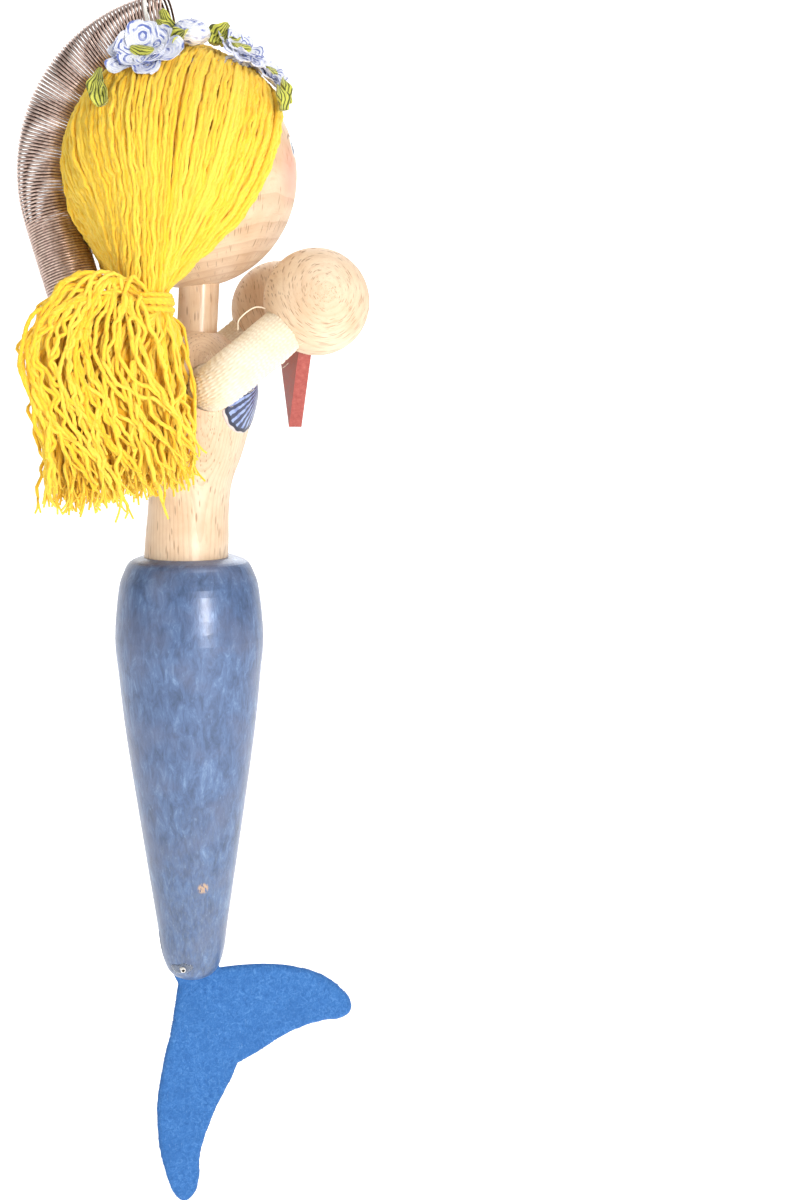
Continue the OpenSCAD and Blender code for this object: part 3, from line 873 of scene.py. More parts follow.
def make_scalp(side):
    """A thin net of yarn close to the wood, under the strands."""
    outside, inside, across = HEAD_R + 0.34, HEAD_R + 0.06, 40
    rows = []
    for share in np.linspace(0.01, 0.99, 70):
        outer = even(hair_line(side, parting(share), outside, 0.4, share)[:18], 0.1)
        outer = outer[np.linspace(0, len(outer) - 1, across).astype(int)]
        inner = HEAD + (outer - HEAD) * (inside / outside)
        rows.append(np.vstack([outer, inner[::-1]]))
    points = np.array(rows)
    points = np.concatenate([points[:1], points])
    cloth = Cloth()
    # The net carries a little of the painted groove shade all over.
    cloth.add(points.reshape(-1, 3), grid_faces(len(points), 2 * across), tint=0.9, groove=0.5)
    finish_piece(cloth.make(f"yarn_net_{side}", YARN), "figure", "yarn")


def stray_fibres(cloth, line, thick, count):
    """Fine wool fibres that stand off a strand."""
    along = unit(np.gradient(line, axis=0))
    for _ in range(count):
        i = RNG.integers(2, len(line) - 6)
        out = unit(np.cross(along[i], RNG.normal(0, 1, 3)))
        reach = RNG.uniform(0.7, 2.2)
        start = line[i] + out * thick * 0.8
        bit = np.vstack([start, start + out * 0.28 + along[i] * reach * 0.5,
                         start + out * 0.4 + along[i] * reach])
        points, faces = tube(even(bit, 0.8), FIBRE_R, 3)
        cloth.add(points, faces, tint=0.1, groove=0.0)


def make_tie(side):
    """Yarn wound five times round the gathered hair."""
    turns = 5
    t = np.linspace(0, 1, turns * 40)
    turn = 2 * np.pi * turns * t
    reach = TIE_R - 0.5 + 0.25 * np.sin(turn * 0.37)
    line = TIE[side] + np.stack([reach * np.cos(turn), reach * np.sin(turn),
                                 TIE_H * (t - 0.5) * 1.05 + 0.25 * np.sin(turn * 0.5)], 1)
    cloth = Cloth()
    ply(cloth, even(line, 0.4), 0.6, pitch=2.6, tint=0.6)
    finish_piece(cloth.make(f"yarn_tie_{side}", YARN), "figure", "yarn", f"hair_tie_{side}")


def frayed_end(cloth, line, tint):
    """The last few millimetres of a strand come apart into thin plies."""
    tip, dirn = line[-1], unit(line[-1] - line[-4])
    for _ in range(2):
        away = unit(dirn + RNG.normal(0, 0.3, 3))
        bit = np.vstack([tip - dirn * 0.8, tip + away * 0.9,
                         tip + away * RNG.uniform(1.6, 3.0) + RNG.normal(0, 0.3, 3)])
        points, faces = tube(smooth_line(bit, 0.9), 0.2, 4)
        cloth.add(points, faces, tint=tint, groove=0.2)


def pigtail_strand(tie, low, high, centre, half, ring, turn):
    """The line of one strand: out of the tie, over the bunch's shoulder, and down to its cut end.
    ring is its share of the way out from the bunch's middle, and turn its angle round it."""
    u, v = ring * math.cos(turn), ring * math.sin(turn)
    begin = tie + np.array([u * (TIE_R - 1.6), v * (TIE_R - 1.6), 0.4])
    leave = tie + np.array([u * (TIE_R - 0.9), v * (TIE_R - 0.9), -TIE_H / 2 - 0.3])
    spread = RNG.uniform(0.86, 1.05)
    bulk = np.array([centre[0] + u * (half[0] - 0.3) * spread, centre[1] + v * (half[1] - 0.3) * spread, 0])
    # The strands at the back rise in a loop before they fall.
    rise = BACK_RISE * max(0.0, -u)**1.2 * ring
    shoulder = leave * 0.45 + bulk * 0.55
    shoulder[2] = tie[2] - 4.5 - 2.5 * (1 - ring) + rise
    wide = bulk.copy()
    wide[2] = tie[2] - 14 + rise * 0.9
    end = bulk * [0.94, 1, 1] + np.array([RNG.normal(0, 1.3), RNG.normal(0, 0.8), 0])
    end[2] = low[2] - 0.8 + 9.0 * RNG.beta(1.5, 2.6) + 3.0 * (u + 0.6) * RNG.uniform(0.6, 1.2)
    mid = (wide + end) / 2 + RNG.normal(0, 1.3, 3) * FLAT
    line = smooth_line([begin, leave, shoulder, wide + RNG.normal(0, 1.0, 3) * FLAT, mid, end], STRAND_GAP)
    line = crimp(line, STRAND_GAP, 0.24)
    deep = line[:, 2] < tie[2] - 5
    line[:, 1] = np.where(deep, np.clip(line[:, 1], low[1] + 0.3, high[1] - 0.3), line[:, 1])
    line[:, 0] = np.where(line[:, 2] < tie[2] - 8, np.minimum(line[:, 0], high[0] + 1.6), line[:, 0])
    return line


def make_pigtail(side):
    cloth, fuzz = Cloth(), Cloth()
    tie = TIE[side]
    low, high = (np.array(v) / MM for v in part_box(f"pigtail_{side}"))
    centre, half = (low + high) / 2 + [0.8, 0, 0], (high - low) / 2 * [1.08, 1, 1]
    for i in range(STRANDS):
        ring = math.sqrt((i + 0.5) / STRANDS)
        line = pigtail_strand(tie, low, high, centre, half, ring, i * GOLDEN_TURN + RNG.normal(0, 0.12))
        tint = RNG.uniform(0, 1)
        ply(cloth, line, STRAND_R * RNG.uniform(0.8, 1.15), pitch=RNG.uniform(1.8, 2.5), sides=5, tint=tint,
            phase=RNG.uniform(0, 6), ends=0.4)
        frayed_end(cloth, line, tint)
        if ring > 0.8:
            stray_fibres(fuzz, line, 0.4, 4)
    pigtail_core(cloth, tie, centre, half, low)
    hang_hank(cloth.make(f"yarn_pigtail_{side}", YARN), side)
    for _ in range(40):
        stray_strand(fuzz, tie, low, high, 1.0 if side == "right" else -1.0)
    hang_hank(fuzz.make(f"yarn_strays_{side}", YARN), side)


def hang_hank(made, side):
    """A hank whose place is baked into its mesh, in place of the imported pigtail, which is hidden."""
    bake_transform(made)
    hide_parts(f"pigtail_{side}")


def pigtail_core(cloth, tie, centre, half, low):
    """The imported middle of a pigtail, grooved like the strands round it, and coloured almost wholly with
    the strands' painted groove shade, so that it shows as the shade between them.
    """
    rows, cols = 30, 60
    t = np.linspace(0, 1, rows)[:, None]
    turn = full_turn(cols)[None]
    grow = np.clip(t / 0.35, 0, 1) ** 0.6
    wide = (0.58 * grow) * (1 - 0.25 * np.clip((t - 0.7) / 0.3, 0, 1))
    lumps = 1 + 0.05 * np.sin(turn * 15 + 5 * t) + 0.04 * np.sin(turn * 8 - 9 * t)
    axis_x = tie[0] + (centre[0] - tie[0]) * grow
    axis_y = tie[1] + (centre[1] - tie[1]) * grow
    x = axis_x + (1.2 + half[0] * wide) * lumps * np.cos(turn)
    y = axis_y + (1.2 + half[1] * wide) * lumps * np.sin(turn)
    top, bottom = tie[2] - 2, low[2] + 7
    z = top + (bottom - top) * t + 3.5 * grow * np.clip(-np.cos(turn), 0, 1) * (1 - t)
    points = close_ends(np.stack([x, y, z], -1))
    cloth.add(points.reshape(-1, 3), grid_faces(rows + 2, cols), tint=1.0, groove=0.9)


def stray_strand(cloth, tie, low, high, inner):
    """A loose strand that loops over the outside of a pigtail; inner is 1 at the right and -1 at the left."""
    out = low[1] - 0.3 if inner > 0 else high[1] + 0.3
    x0 = tie[0] - RNG.uniform(-3, 4)
    reach = low[0] + RNG.uniform(-1.5, 22)
    drop = RNG.uniform(9, 22)
    over = RNG.uniform(-3.5, 2.0) - 0.12 * max(reach - low[0] - 8, 0)
    line = smooth_line([
        [x0, tie[1], tie[2] - 2],
        [x0 - 3, (tie[1] + out) / 2, tie[2] + 0.5 + over],
        [(x0 + reach) / 2 - 2, out + 0.6 * inner, tie[2] + 3.0 + over],
        [reach, out + RNG.uniform(-0.3, 1.5) * inner, tie[2] - drop * 0.45],
        [reach + RNG.uniform(0, 3), out, tie[2] - drop],
        [reach + RNG.uniform(1, 11), out + 0.4 * inner, tie[2] - drop - RNG.uniform(5, 16)]], 0.6)
    line = crimp(line, 0.6, 0.22)
    tint = RNG.uniform(0, 1)
    ply(cloth, line, STRAND_R, pitch=2.6, sides=7, tint=tint, phase=RNG.uniform(0, 6), ends=0.4)
    frayed_end(cloth, line, tint)
    stray_fibres(cloth, line, STRAND_R, 8)


for which in ("right", "left"):
    make_scalp(which)
    make_hair(which)
    make_tie(which)
    make_pigtail(which)


# ---------------------------------------------------------------- rope arms
SHOULDER = np.array([2.5, 0.0, -62.0])
ARM_PITCH = math.radians(39.4)
ROPE_R = 4.5
ROPE_BEND = 5.5
ROPE_TURN = math.radians(96.4)
ROPE_STRAIGHT = 12.6
FOREARM = 19.4


def arm_point(x, y):
    """A point of the arms' own plane, which is tipped up at the shoulders."""
    return SHOULDER + np.array([x * math.cos(ARM_PITCH), y, x * math.sin(ARM_PITCH)])


def rope_line():
    turn = np.linspace(0, ROPE_TURN, 20)
    bend = [(ROPE_BEND * (1 - math.cos(t)), ROPE_STRAIGHT + ROPE_BEND * math.sin(t)) for t in turn]
    way = (math.sin(ROPE_TURN), math.cos(ROPE_TURN))
    end = [(bend[-1][0] + way[0] * s, bend[-1][1] + way[1] * s) for s in np.linspace(1, FOREARM - 3, 20)]
    half = [(0, y) for y in np.linspace(0.5, ROPE_STRAIGHT - 0.5, 14)] + bend + end
    both = [(x, -y) for x, y in half[::-1]] + half
    return np.array([arm_point(x, y) for x, y in both])


def make_rope():
    """A knitted cotton tube round a soft core: columns of small V stitches, a little uneven."""
    sides, columns, row_h = 132, 22, 1.0
    line = even(rope_line(), 0.21)
    at = distance_along(line)[:, None]
    turn = np.linspace(0, 1, sides, endpoint=False)[None]
    column = turn * columns
    across = np.abs(column % 1 - 0.5) * 2
    uneven = 0.18 * np.sin(column.round() * 2.1 + at * 0.31) + 0.1 * np.sin(at * 1.7 + column.round())
    phase = at / row_h + across * 0.55 + uneven
    stitch = 0.5 + 0.5 * np.cos(2 * np.pi * phase)
    leg = np.sqrt(np.clip(1 - (2 * across - 1) ** 2, 0, 1))
    height = (0.30 + 0.70 * stitch) * (0.25 + 0.75 * leg)
    lumps = 0.06 * np.sin(at * 0.45 + 6.28 * turn) + 0.05 * np.sin(at * 0.8 - 12.6 * turn)
    radius = ROPE_R - 0.30 + 0.36 * height + lumps
    points, faces = tube(line, radius, sides, start=UP)
    cloth = Cloth()
    # The low places between the stitches are marked for painted shade.
    cloth.add(points, faces, tint=0.5, groove=with_ends(1 - height).ravel())
    rope_fibres(cloth, line)
    loose_thread(cloth)
    finish_piece(cloth.make("rope_arms", ROPE), "arms", "rope", "arm_rope")


def rope_fibres(cloth, line):
    """Fine loose fibres that stand off the rope."""
    along, a, b = frames(line, UP)
    for _ in range(110):
        i = RNG.integers(2, len(line) - 2)
        t = RNG.uniform(0, 2 * np.pi)
        out = math.cos(t) * a[i] + math.sin(t) * b[i]
        start = line[i] + out * (ROPE_R - 0.1)
        reach = RNG.uniform(0.9, 2.6)
        lean = unit(along[i] * RNG.normal(0, 1) + RNG.normal(0, 0.6, 3))
        bit = np.vstack([start, start + out * 0.35 * reach + lean * 0.3 * reach,
                         start + out * 0.45 * reach + lean * reach])
        points, faces = tube(smooth_line(bit, 0.35), FIBRE_R, 3)
        cloth.add(points, faces, tint=0.3, groove=0.0)


def loose_thread(cloth):
    """The end of a thread that stands off the right forearm beside the hand."""
    start = arm_point(16.2, -15.8) + [-1.6, 0, 3.9]
    line = smooth_line([start + [1.5, 0, -0.8], start, start + [-3.2, -1.0, 0.6], start + [-6.3, -1.4, -1.6],
                        start + [-6.6, -1.2, -3.6]], 0.3)
    points, faces = tube(line, 0.13, 6)
    cloth.add(points, faces, tint=0.3, groove=0.1)


make_rope()


# ---------------------------------------------------------------- felt fin
FELT_T = 1.6
FELT_GAP = 0.42


# The fin's cut edge, as x and z from the middle of the tail's end: where it starts, then for each stretch
# the two points that pull it and the point where it ends.
FIN_START = (-3.8, 9)
FIN_CURVES = (
    ((-2, 9.4), (2, 9.4), (5, 9)), ((5.6, 6), (6.0, 3), (6.5, 1.5)),
    ((14, 1.8), (27, 1.5), (33.6, -6.8)), ((36.2, -10.2), (34.2, -12.6), (30.5, -12.4)),
    ((23, -12.2), (17.5, -17.2), (10.3, -19.8)), ((8.2, -24.5), (3, -31.5), (1.9, -40)),
    ((1.8, -45.5), (1.6, -49.2), (-1.2, -49.4)), ((-4, -49.4), (-6.7, -39), (-6.8, -31)),
    ((-6.9, -20), (-3.4, -12), (-2.2, -1)), ((-2.8, 0.5), (-3.6, 2), (-3.8, 4)),
    ((-3.8, 6), (-3.8, 7), (-3.8, 9)))


def pull(a, b, c, d):
    """One stretch of a curve pulled by two control points, without its last point."""
    t = np.linspace(0, 1, 14, endpoint=False)[:, None]
    a, b, c, d = (np.array(p, float) for p in (a, b, c, d))
    return (1 - t)**3 * a + 3 * (1 - t)**2 * t * b + 3 * (1 - t) * t * t * c + t**3 * d


def fin_outline():
    """The fin's cut edge, a little uneven as scissors leave it."""
    starts = [FIN_START] + [end for _, _, end in FIN_CURVES]
    ring = np.vstack([pull(start, *curve) for start, curve in zip(starts, FIN_CURVES)])
    ring = np.vstack([ring, ring[:1]])
    ring = even(np.column_stack([ring, np.zeros(len(ring))]), FELT_GAP)[:-1, :2]
    at = np.arange(len(ring)) * FELT_GAP
    along = np.roll(ring, -1, 0) - np.roll(ring, 1, 0)
    out = unit(np.column_stack([along[:, 1], -along[:, 0]]))
    uneven = 0.05 * np.sin(at * 0.6) + 0.03 * np.sin(at * 1.7 + 1) + RNG.normal(0, 0.02, len(ring))
    return ring + out * (uneven * (ring[:, 1] < 0))[:, None]


def fin_triangles(ring):
    """The fin's flat shape: its points, its triangles, and how far each point is from the edge."""
    low, high = ring.min(0), ring.max(0)
    gx, gz = np.meshgrid(np.arange(low[0], high[0], 0.62), np.arange(low[1], high[1], 0.62))
    inner = np.column_stack([gx.ravel(), gz.ravel()])
    inner = inner + RNG.uniform(-0.12, 0.12, inner.shape)
    far = np.array([np.linalg.norm(ring - p, axis=1).min() for p in inner])
    verts = [Vector(p) for p in np.vstack([ring, inner[far > FELT_GAP]])]
    edges = [(i, (i + 1) % len(ring)) for i in range(len(ring))]
    flat, _, tris, *_ = delaunay_2d_cdt(verts, edges, [], 1, 1e-5)
    flat = np.array([tuple(v) for v in flat])
    tris = np.array([t for t in tris if len(t) == 3])
    return flat, tris, np.array([np.linalg.norm(ring - p, axis=1).min() for p in flat])


def border_edges(tris):
    """The edges that only one triangle has."""
    seen = {}
    for t in tris:
        for a, b in ((t[0], t[1]), (t[1], t[2]), (t[2], t[0])):
            key = (min(a, b), max(a, b))
            seen[key] = None if key in seen else (a, b)
    return [pair for pair in seen.values() if pair is not None]


def make_fin():
    """Two faces of felt that meet in a rounded cut edge, lumpy and slightly waved below the tail."""
    ring = fin_outline()
    flat, tris, edge = fin_triangles(ring)
    count = len(flat)
    x, z = flat[:, 0], flat[:, 1]
    round_off = np.sqrt(np.clip(1 - (1 - np.clip(edge / 0.5, 0, 1))**2, 0.0, 1))
    half = FELT_T / 2 * (0.35 + 0.65 * round_off)
    lumps = 0.05 * np.sin(x * 1.3 + z * 0.7) + 0.05 * np.sin(z * 1.7 - x * 0.4) + RNG.normal(0, 0.018, count)
    below = np.clip(-z / 12, 0, 1)
    wave = below * (0.5 * np.sin(x * 0.17 + z * 0.1) + 0.25 * np.sin(z * 0.2))
    sides = []
    for sign in (-1, 1):
        y = sign * (half + lumps * (0.35 + 0.65 * below)) * np.where(z > 0, 0.97, 1.0) + wave
        sides.append(np.column_stack([x, y, z]) + FIN_ROOT)
    border = border_edges(tris)
    wall = [(a, b, b + count) for a, b in border] + [(a, b + count, a + count) for a, b in border]
    cloth = Cloth()
    cloth.add(np.vstack(sides), np.vstack([tris, tris[:, ::-1] + count, np.array(wall)[:, ::-1]]), groove=0.0)
    made = cloth.make("felt_fin", FELT)
    bm = bmesh.new()
    bm.from_mesh(made.data)
    bmesh.ops.recalc_face_normals(bm, faces=bm.faces)
    bm.to_mesh(made.data)
    bm.free()
    finish_piece(made, "figure", "felt", "fin")
    make_felt_fuzz(ring)


def make_felt_fuzz(ring):
    """Loose fibres along the fin's cut edge and faces."""
    cloth = Cloth()
    for _ in range(520):
        i = RNG.integers(0, len(ring))
        p = ring[i]
        if p[1] > 0:
            continue
        t = ring[(i + 1) % len(ring)] - ring[i - 1]
        out = np.array([t[1], 0, -t[0]]) / np.linalg.norm(t)
        start = FIN_ROOT + [p[0], RNG.uniform(-0.7, 0.7), p[1]] - out * 0.15
        reach = RNG.uniform(0.2, 0.7)
        lean = RNG.normal(0, 0.7, 3)
        bit = np.vstack([start, start + out * reach * 0.5 + lean * 0.3 * reach,
                         start + out * reach * 0.7 + lean * reach])
        points, faces = tube(smooth_line(bit, 0.3), 0.03, 3)
        cloth.add(points, faces, groove=0.0)
    finish_piece(cloth.make("felt_fibres", FELT), "figure", "felt")


make_fin()


def make_stitch():
    """The white cord through the tail's end, its cut ends open with painted shade in them, in dabs of clear
    glue.
    """
    low, high = (np.array(v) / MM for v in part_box("fin_stitch"))
    mid = (low + high) / 2
    line = even(np.array([[mid[0], low[1] - 0.15, mid[2]], [mid[0], high[1] + 0.15, mid[2]]]), 0.12)
    cloth = Cloth()
    ply(cloth, line, 0.52, pitch=1.6, plies=4, sides=24, depth=0.14)
    finish_piece(cloth.make("stitch_cord", CORD), "figure", "white_cord", "fin_stitch")
    holes, glue = Cloth(), Cloth()
    for side, y in ((-1, low[1] - 0.2), (1, high[1] + 0.2)):
        add_cord_hole(holes, mid, side, y)
        add_glue_dab(glue, mid, side)
    finish_piece(holes.make("stitch_hole_shade", hollow_shade_material()), "figure", "white_cord")
    finish_piece(glue.make("glue_dabs", glue_material()), "figure", "white_cord")


def add_cord_hole(cloth, mid, side, y):
    """The hollow in the cord's cut end, a dished disc coloured with painted shade."""
    turn = full_turn(20)
    rows = [np.column_stack([mid[0] + reach * np.cos(turn) * (1 + 0.15 * np.sin(3 * turn)),
                             np.full(len(turn), y + side * dip), mid[2] + reach * np.sin(turn)])
            for reach, dip in ((0.30, 0.06), (0.24, 0.1), (0.16, 0.05), (0.03, 0.02))]
    cloth.add(np.vstack(rows), grid_faces(len(rows), len(turn)))


def add_glue_dab(cloth, mid, side):
    """A low ring of glue that follows the tail's surface."""
    turn = full_turn(40)
    wide = 1.7 * (1 + 0.22 * np.sin(2 * turn + 1.0) + 0.12 * np.sin(5 * turn))
    rows = []
    for share, rise in ((1.0, -0.55), (0.97, 0.0), (0.82, 0.16), (0.62, 0.22), (0.45, 0.16), (0.36, 0.0)):
        reach = 0.5 + (wide - 0.5) * (share - 0.3) / 0.7
        x = mid[0] + reach * np.cos(turn)
        z = mid[2] + reach * np.sin(turn) * 0.9
        surface = np.sqrt(np.maximum(tail_surface(z)**2 - x**2, 0.2))
        rows.append(np.column_stack([x, side * (surface + rise), z]))
    cloth.add(np.vstack(rows), grid_faces(len(rows), len(turn)))


def tail_surface(z):
    """The tail's radius near its lower end, at those heights."""
    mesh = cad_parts["tail"].data
    points = np.empty(len(mesh.vertices) * 3)
    mesh.vertices.foreach_get("co", points)
    points = points.reshape(-1, 3) / MM
    wide = np.hypot(points[:, 0], points[:, 1])
    near = (points[:, 2] < FIN_ROOT[2] + 14) & (np.abs(points[:, 1]) > 1.5)
    heights = np.round(points[near, 2], 1)
    levels = np.unique(heights)
    widest = np.array([wide[near][heights == h].max() for h in levels])
    return np.interp(z, levels, widest)


# Painted shade: a near-black colour for the inside of the cord's cut ends.
def hollow_shade_material():
    g = Graph("cord_hollow_shade", Roughness=0.9)
    grain = g.noise(g.in_mm(), 5.0, 3.0)
    g.out("Base Color", g.mix(grain, srgb(20, 18, 18), srgb(58, 52, 50)))
    return g.material


def glue_material():
    g = Graph("clear_glue", Roughness=0.12, Transmission_Weight=0.85, IOR=1.45)
    cloud = g.noise(g.in_mm(), 1.6, 3.0)
    g.out("Base Color", g.mix(cloud, srgb(226, 232, 240), srgb(190, 204, 222)))
    g.out("Normal", g.bump(cloud, 0.08, 0.5))
    return g.material


make_stitch()


# ---------------------------------------------------------------- wreath
WREATH_R = 12.0
HAIR_R = HEAD_R + 1.8
WREATH_TILT = math.radians(3)


def on_wreath(turn, reach, lift):
    """A place on the wreath: the point, the direction out of the head, and the direction round the ring."""
    turn = math.radians(turn)
    angle = math.asin(reach / (HAIR_R + lift))
    out = np.array([math.sin(angle) * math.cos(turn), math.sin(angle) * math.sin(turn), math.cos(angle)])
    c, s = math.cos(WREATH_TILT), math.sin(WREATH_TILT)
    tilt = np.array([[c, 0, s], [0, 1, 0], [-s, 0, c]])
    out = tilt @ out
    round_ = tilt @ np.array([-math.sin(turn), math.cos(turn), 0])
    return HEAD + out * (HAIR_R + lift), out, round_


def ribbon_leaf(cloth, root, way, up, length, width, lift, cup, ruffle, thick=0.42, tip=0.75, full=2.0,
                rings=False):
    """A cupped, slightly ruffled blade of ribbon, closed all round, along way and standing off along up."""
    way = unit(way)
    up = unit(up - way * (up @ way))
    side = np.cross(up, way)
    rows, cols = 22, 28
    s = np.linspace(0, 1, rows)[:, None]
    turn = full_turn(cols)[None]
    across = np.cos(turn)
    blade = np.clip(0.10 + 0.90 * s, 0, 1) ** tip
    half = width / 2 * np.maximum(1 - np.abs(2 * blade - 1) ** full, 0.0005) ** (1 / full)
    body = np.sin(turn) * thick / 2 * np.minimum(1, 4 * (1 - s) + 0.2)
    wave = ruffle * np.sin(2 * np.pi * (1.5 * s + RNG.uniform(0, 1))) * across
    rise = lift * length * s**1.3 + cup * (across * half) ** 2 / max(width / 2, 0.1) + wave + body
    ridge = 0.05 * np.sin(across * 12) * np.sign(np.sin(turn))
    points = (root + way * (length * s)[..., None] + side * (across * half)[..., None]
              + up * (rise + ridge)[..., None])
    band = across * 0.5 + 0.5 + 0.25 * s
    if rings:
        band = np.hypot(across * (0.35 + 0.65 * np.sin(np.pi * s)), 1.7 * s - 0.85) * 0.62
    cloth.add(close_ends(points).reshape(-1, 3), grid_faces(rows + 2, cols), band=with_ends(band).ravel())


def make_flower(n, turn, reach, lift, size, face):
    """Two rings of ribbon petals, turned a little towards face. Gives the leaf at its centre."""
    place, out, round_ = on_wreath(turn, reach, lift)
    if face is not None:
        out = unit(out + np.array(face) * 0.45)
    a = unit(round_ - out * (round_ @ out))
    b = np.cross(out, a)
    petals, centre = Cloth(), Cloth()
    # For each ring: petals, their length, how steeply they rise, and how far out they start.
    for ring, (number, long, rise, out_by) in enumerate(((6, size, 0.20, 0.0), (5, size * 0.72, 0.5, 0.5))):
        for k in range(number):
            t = 2 * np.pi * (k + 0.5 * ring) / number + RNG.uniform(-0.15, 0.15)
            way = math.cos(t) * a + math.sin(t) * b
            ribbon_leaf(petals, place + out * out_by + way * 0.35, way, out, long * RNG.uniform(0.9, 1.1),
                        size * RNG.uniform(0.74, 0.92), lift=rise * RNG.uniform(0.5, 1.3), cup=0.3,
                        ruffle=0.3, tip=1.0, full=2.5, rings=True)
    ribbon_leaf(centre, place + out * 1.5 - a * 2.3, a, out, 4.6, 2.5, lift=0.0, cup=-0.55, ruffle=0.1,
                thick=0.7, tip=1.0)
    finish_piece(petals.make(f"ribbon_flower_{n}", RIBBON), "figure", "ribbon_white", f"flower_{n}")
    return centre


# For each flower: its angle round the wreath, its reach from the middle, its lift off the hair, its petals'
# length, and the way it leans.
FLOWERS = {1: (228, 14.7, 0.5, 7.1, (-0.25, -1.0, -0.05)), 2: (310, 12.0, 1.4, 4.9, (0.2, -0.9, 0.1)),
           3: (334, 15.2, 0.8, 4.2, (0.4, -0.7, 0.0)), 4: (45, 12.0, 1.2, 4.8, None),
           5: (92, 12.0, 1.2, 5.0, None)}
# For each leaf: its angle round the wreath, its reach, length and width, the way it points from the wreath's
# own line in degrees, and how much it stands up.
LEAVES = (
    (236, 9.0, 5.6, 2.9, 95, 2.6), (241, 10.2, 4.4, 3.0, 150, 1.6), (246, 13.2, 4.4, 3.8, -35, 0.5),
    (250, 12.4, 4.4, 3.6, -120, 0.3), (292, 8.0, 5.0, 3.6, 75, 1.2), (288, 10.0, 4.6, 3.8, -60, 0.6),
    (288, 8.8, 4.6, 3.4, -20, 0.7), (298, 9.4, 4.2, 3.2, 20, 0.6), (23, 12, 5.2, 3.2, 30, 0.5),
    (67, 12, 5.2, 3.2, -35, 0.6), (113, 12, 5.2, 3.2, 20, 0.6), (217, 22.6, 5.8, 3.8, -95, 0.2),
    (222, 23.0, 5.0, 3.6, -120, 0.15), (318, 21.0, 5.0, 3.2, -80, 0.25), (312, 22.0, 4.8, 3.6, -95, 0.15))


def make_wreath():
    centres = Cloth()
    for n, flower in FLOWERS.items():
        centre = make_flower(n, *flower)
        centres.add(centre.points[0], centre.faces[0], band=centre.numbers["band"][0])
    finish_piece(centres.make("ribbon_centres", LEAF), "figure", "ribbon_green", "wreath_centres")
    make_leaves()
    make_bud()
    make_band()


def make_leaves():
    cloth = Cloth()
    for turn, reach, length, width, spin, stand in LEAVES:
        place, out, round_ = on_wreath(turn, reach, 1.2)
        inward = np.cross(round_, out)
        t = math.radians(spin)
        way = math.cos(t) * round_ + math.sin(t) * inward
        ribbon_leaf(cloth, place, unit(way + out * stand), out if stand < 1 else -inward, length, width,
                    lift=0.12, cup=0.7, ruffle=0.3)
    finish_piece(cloth.make("ribbon_leaves", LEAF), "figure", "ribbon_green", "wreath_leaves")


def make_bud():
    """A domed bud of ribbon: folded layers over a half ball."""
    place, out, round_ = on_wreath(262, 9.4, 2.0)
    a, b = round_, np.cross(out, round_)
    rows, cols = 16, 40
    rise = np.linspace(0, np.pi * 0.94, rows)[:, None]
    turn = full_turn(cols)[None]
    cloth = Cloth()
    for layer in range(5):
        r = (3.5 - 0.36 * layer) * (1 + 0.05 * np.sin(3 * turn + layer * 2.1))
        ring = np.sin(rise) * r
        up = np.cos(rise) * r * 0.62 + 0.28 * layer
        fold = 0.22 * np.sin(5 * turn + layer * 1.3 + rise * 2)
        points = (place + a * (ring * np.cos(turn))[..., None] + b * (ring * np.sin(turn))[..., None]
                  + out * (up + fold * np.sin(rise))[..., None] + out * 0.6)
        band = rise / np.pi + 0.12 * layer + 0 * turn
        cloth.add(points.reshape(-1, 3), grid_faces(rows, cols), band=band.ravel())
    finish_piece(cloth.make("ribbon_bud", RIBBON), "figure", "ribbon_white", "wreath_bud")


def make_band():
    """The ribbon that the flowers sit on, gathered into soft folds, open where the spring passes, and flat
    and narrow at the right side, between the flowers."""
    spring_at, flat_at, gap = 155, 272, 34
    turns = np.linspace(spring_at + gap, spring_at + 360 - gap, 240)
    rows, cols = len(turns), 24
    t = full_turn(cols)
    points, band = [], []
    for i, turn in enumerate(turns):
        near = math.exp(-((turn - flat_at) / 34) ** 2)
        place, out, round_ = on_wreath(turn, WREATH_R, 0.9 - 2.3 * near)
        wide = (2.0 + 0.5 * math.sin(i * 0.23)) * (1 - 0.75 * near)
        fold = 0.45 * (1 - 0.8 * near) * np.sin(i * 0.42 + 2 * np.cos(t))
        points.append(place + np.outer(np.cos(t) * wide, np.cross(out, round_))
                      + np.outer(np.sin(t) * 0.75 * (1 - 0.4 * near) + fold, out))
        band.append(np.cos(t) * 0.5 + 0.02 * i)
    cloth = Cloth()
    cloth.add(close_ends(np.array(points)).reshape(-1, 3), grid_faces(rows + 2, cols),
              band=with_ends(np.array(band)).ravel())
    finish_piece(cloth.make("ribbon_band", RIBBON), "figure", "ribbon_white", "wreath_band")


make_wreath()


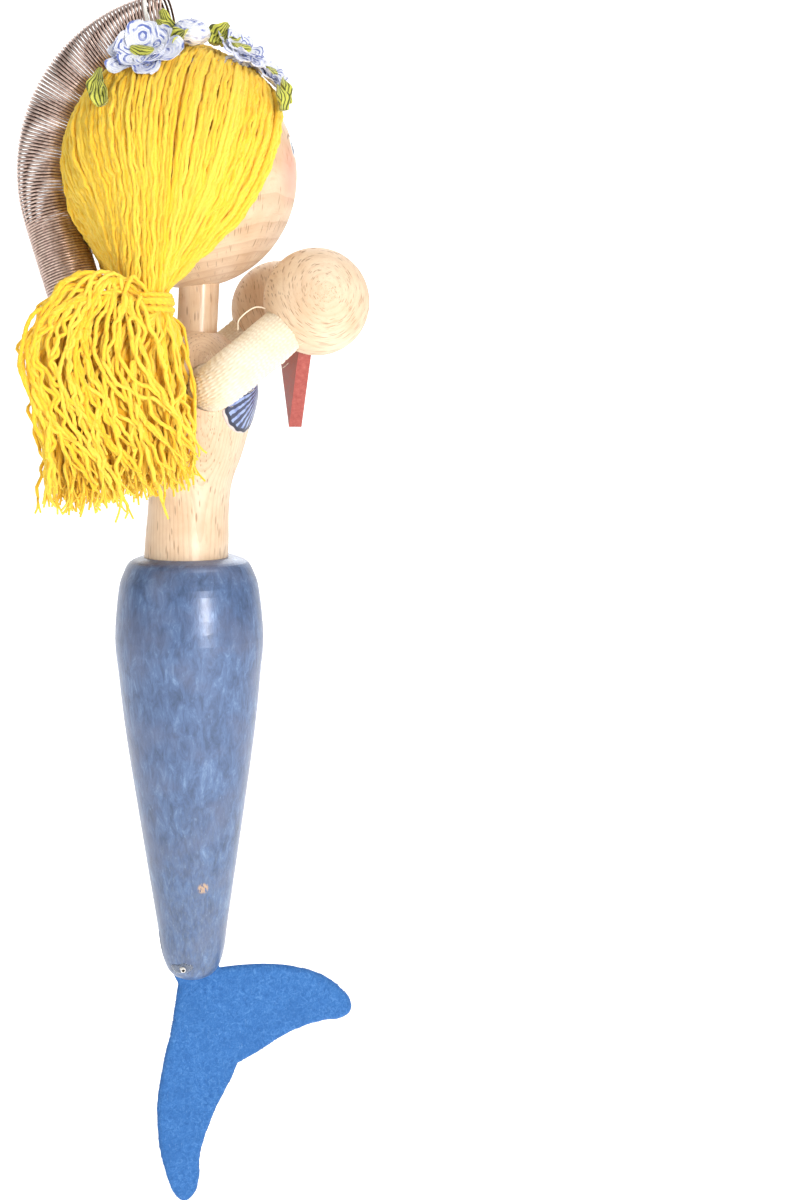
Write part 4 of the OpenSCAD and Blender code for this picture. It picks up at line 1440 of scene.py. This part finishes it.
# ---------------------------------------------------------------- crown cord
def make_crown_cord():
    """The white cord from the crown, lying back to the spring and tied round its first coils."""
    ring_at = bend_point(BEND_START - 0.1, BEND_R)
    outward = unit(ring_at - HEAD)
    turn = np.linspace(-np.pi, np.pi * 1.05, 44)
    ring = ring_at + (COIL_R + 0.36) * (np.cos(turn)[:, None] * outward + np.sin(turn)[:, None] * SIDE)
    ring += np.linspace(-0.25, 0.35, len(ring))[:, None] * BACK
    first = np.array([[0, 0, -6], [0, 0, -2.5], [0, 0, 0.2], BACK * 0.8 + UP * 0.75, BACK * 2.2 + UP * 0.6])
    line = smooth_line(np.vstack([first, ring[1::3]]), 0.22)
    cloth = Cloth()
    ply(cloth, line, 0.42, pitch=1.5, plies=3, sides=12, depth=0.22)
    knot = ring_at + outward * (COIL_R + 0.9) - BACK * 0.2
    for k in range(3):
        t = np.linspace(0, 2 * np.pi, 28)
        spin = k * 1.1
        loop = knot + 0.75 * (np.cos(t)[:, None] * (math.cos(spin) * SIDE + math.sin(spin) * outward)
                              + np.sin(t)[:, None] * unit(BACK + 0.4 * math.sin(spin * 2) * SIDE))
        ply(cloth, loop, 0.38, pitch=1.5, plies=3, sides=10, depth=0.22)
    made = cloth.make("tie_cord", CORD)
    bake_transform(made)
    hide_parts("crown_cord", "cord_loop")


make_crown_cord()


# ---------------------------------------------------------------- floor and light
def make_floor():
    """A pale sheet that lies below the figure and curves up behind it."""
    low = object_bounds()[0][2] / MM - 12
    front, back, bend_r, half_width, wall = -900, 600, 500, 1800, 900
    rows, cols = 60, 30
    # The first 0.45 of the sheet is flat, the next 0.25 bends, and the rest stands up.
    share = np.linspace(0, 1, rows)
    bend = np.clip((share - 0.45) / 0.25, 0, 1) * math.pi / 2
    y = np.where(share < 0.45, front + (back - front) * share / 0.45, back + bend_r * np.sin(bend))
    z = bend_r * (1 - np.cos(bend)) + np.clip((share - 0.7) / 0.3, 0, 1) * wall
    x = np.linspace(-half_width, half_width, cols)
    points = np.array([[a, b, low + c] for b, c in zip(y, z) for a in x])
    cloth = Cloth()
    cloth.add(points, grid_faces(rows, cols, closed=False))
    g = Graph("studio_paper", Roughness=0.9, Emission_Color=(1, 1, 1, 1), Emission_Strength=0.60)
    grain = g.noise(g.in_mm(), 0.4, 2.0)
    g.out("Base Color", g.mix(grain, srgb(252, 252, 252), srgb(247, 247, 247)))
    cloth.make("backdrop", g.material)


def area_light(name, place, size, watts, colour=(1, 1, 1)):
    data = bpy.data.lights.new(name, "AREA")
    data.shape = "DISK"
    data.size = size
    data.energy = watts
    data.color = colour
    lamp = bpy.data.objects.new(name, data)
    bpy.context.scene.collection.objects.link(lamp)
    lamp.location = Vector(place)
    lamp.rotation_euler = (Vector((0, 0, -0.1)) - lamp.location).to_track_quat("-Z", "Y").to_euler()


def make_world():
    world = bpy.data.worlds.new("studio")
    bpy.context.scene.world = world
    world.use_nodes = True
    sky = world.node_tree.nodes["Background"]
    sky.inputs["Color"].default_value = (1, 1, 1, 1)
    sky.inputs["Strength"].default_value = 0.30


make_floor()
make_world()
area_light("key", (0.20, -0.71, -0.05), 0.15, 3.3, (1.0, 0.97, 0.93))
area_light("top", (0.25, -0.30, 0.62), 0.50, 2.7, (1.0, 0.98, 0.96))
area_light("side", (-0.70, -0.35, 0.15), 0.60, 0.9, (0.95, 0.98, 1.0))
area_light("behind", (0.15, 0.55, 0.30), 0.60, 1.6)
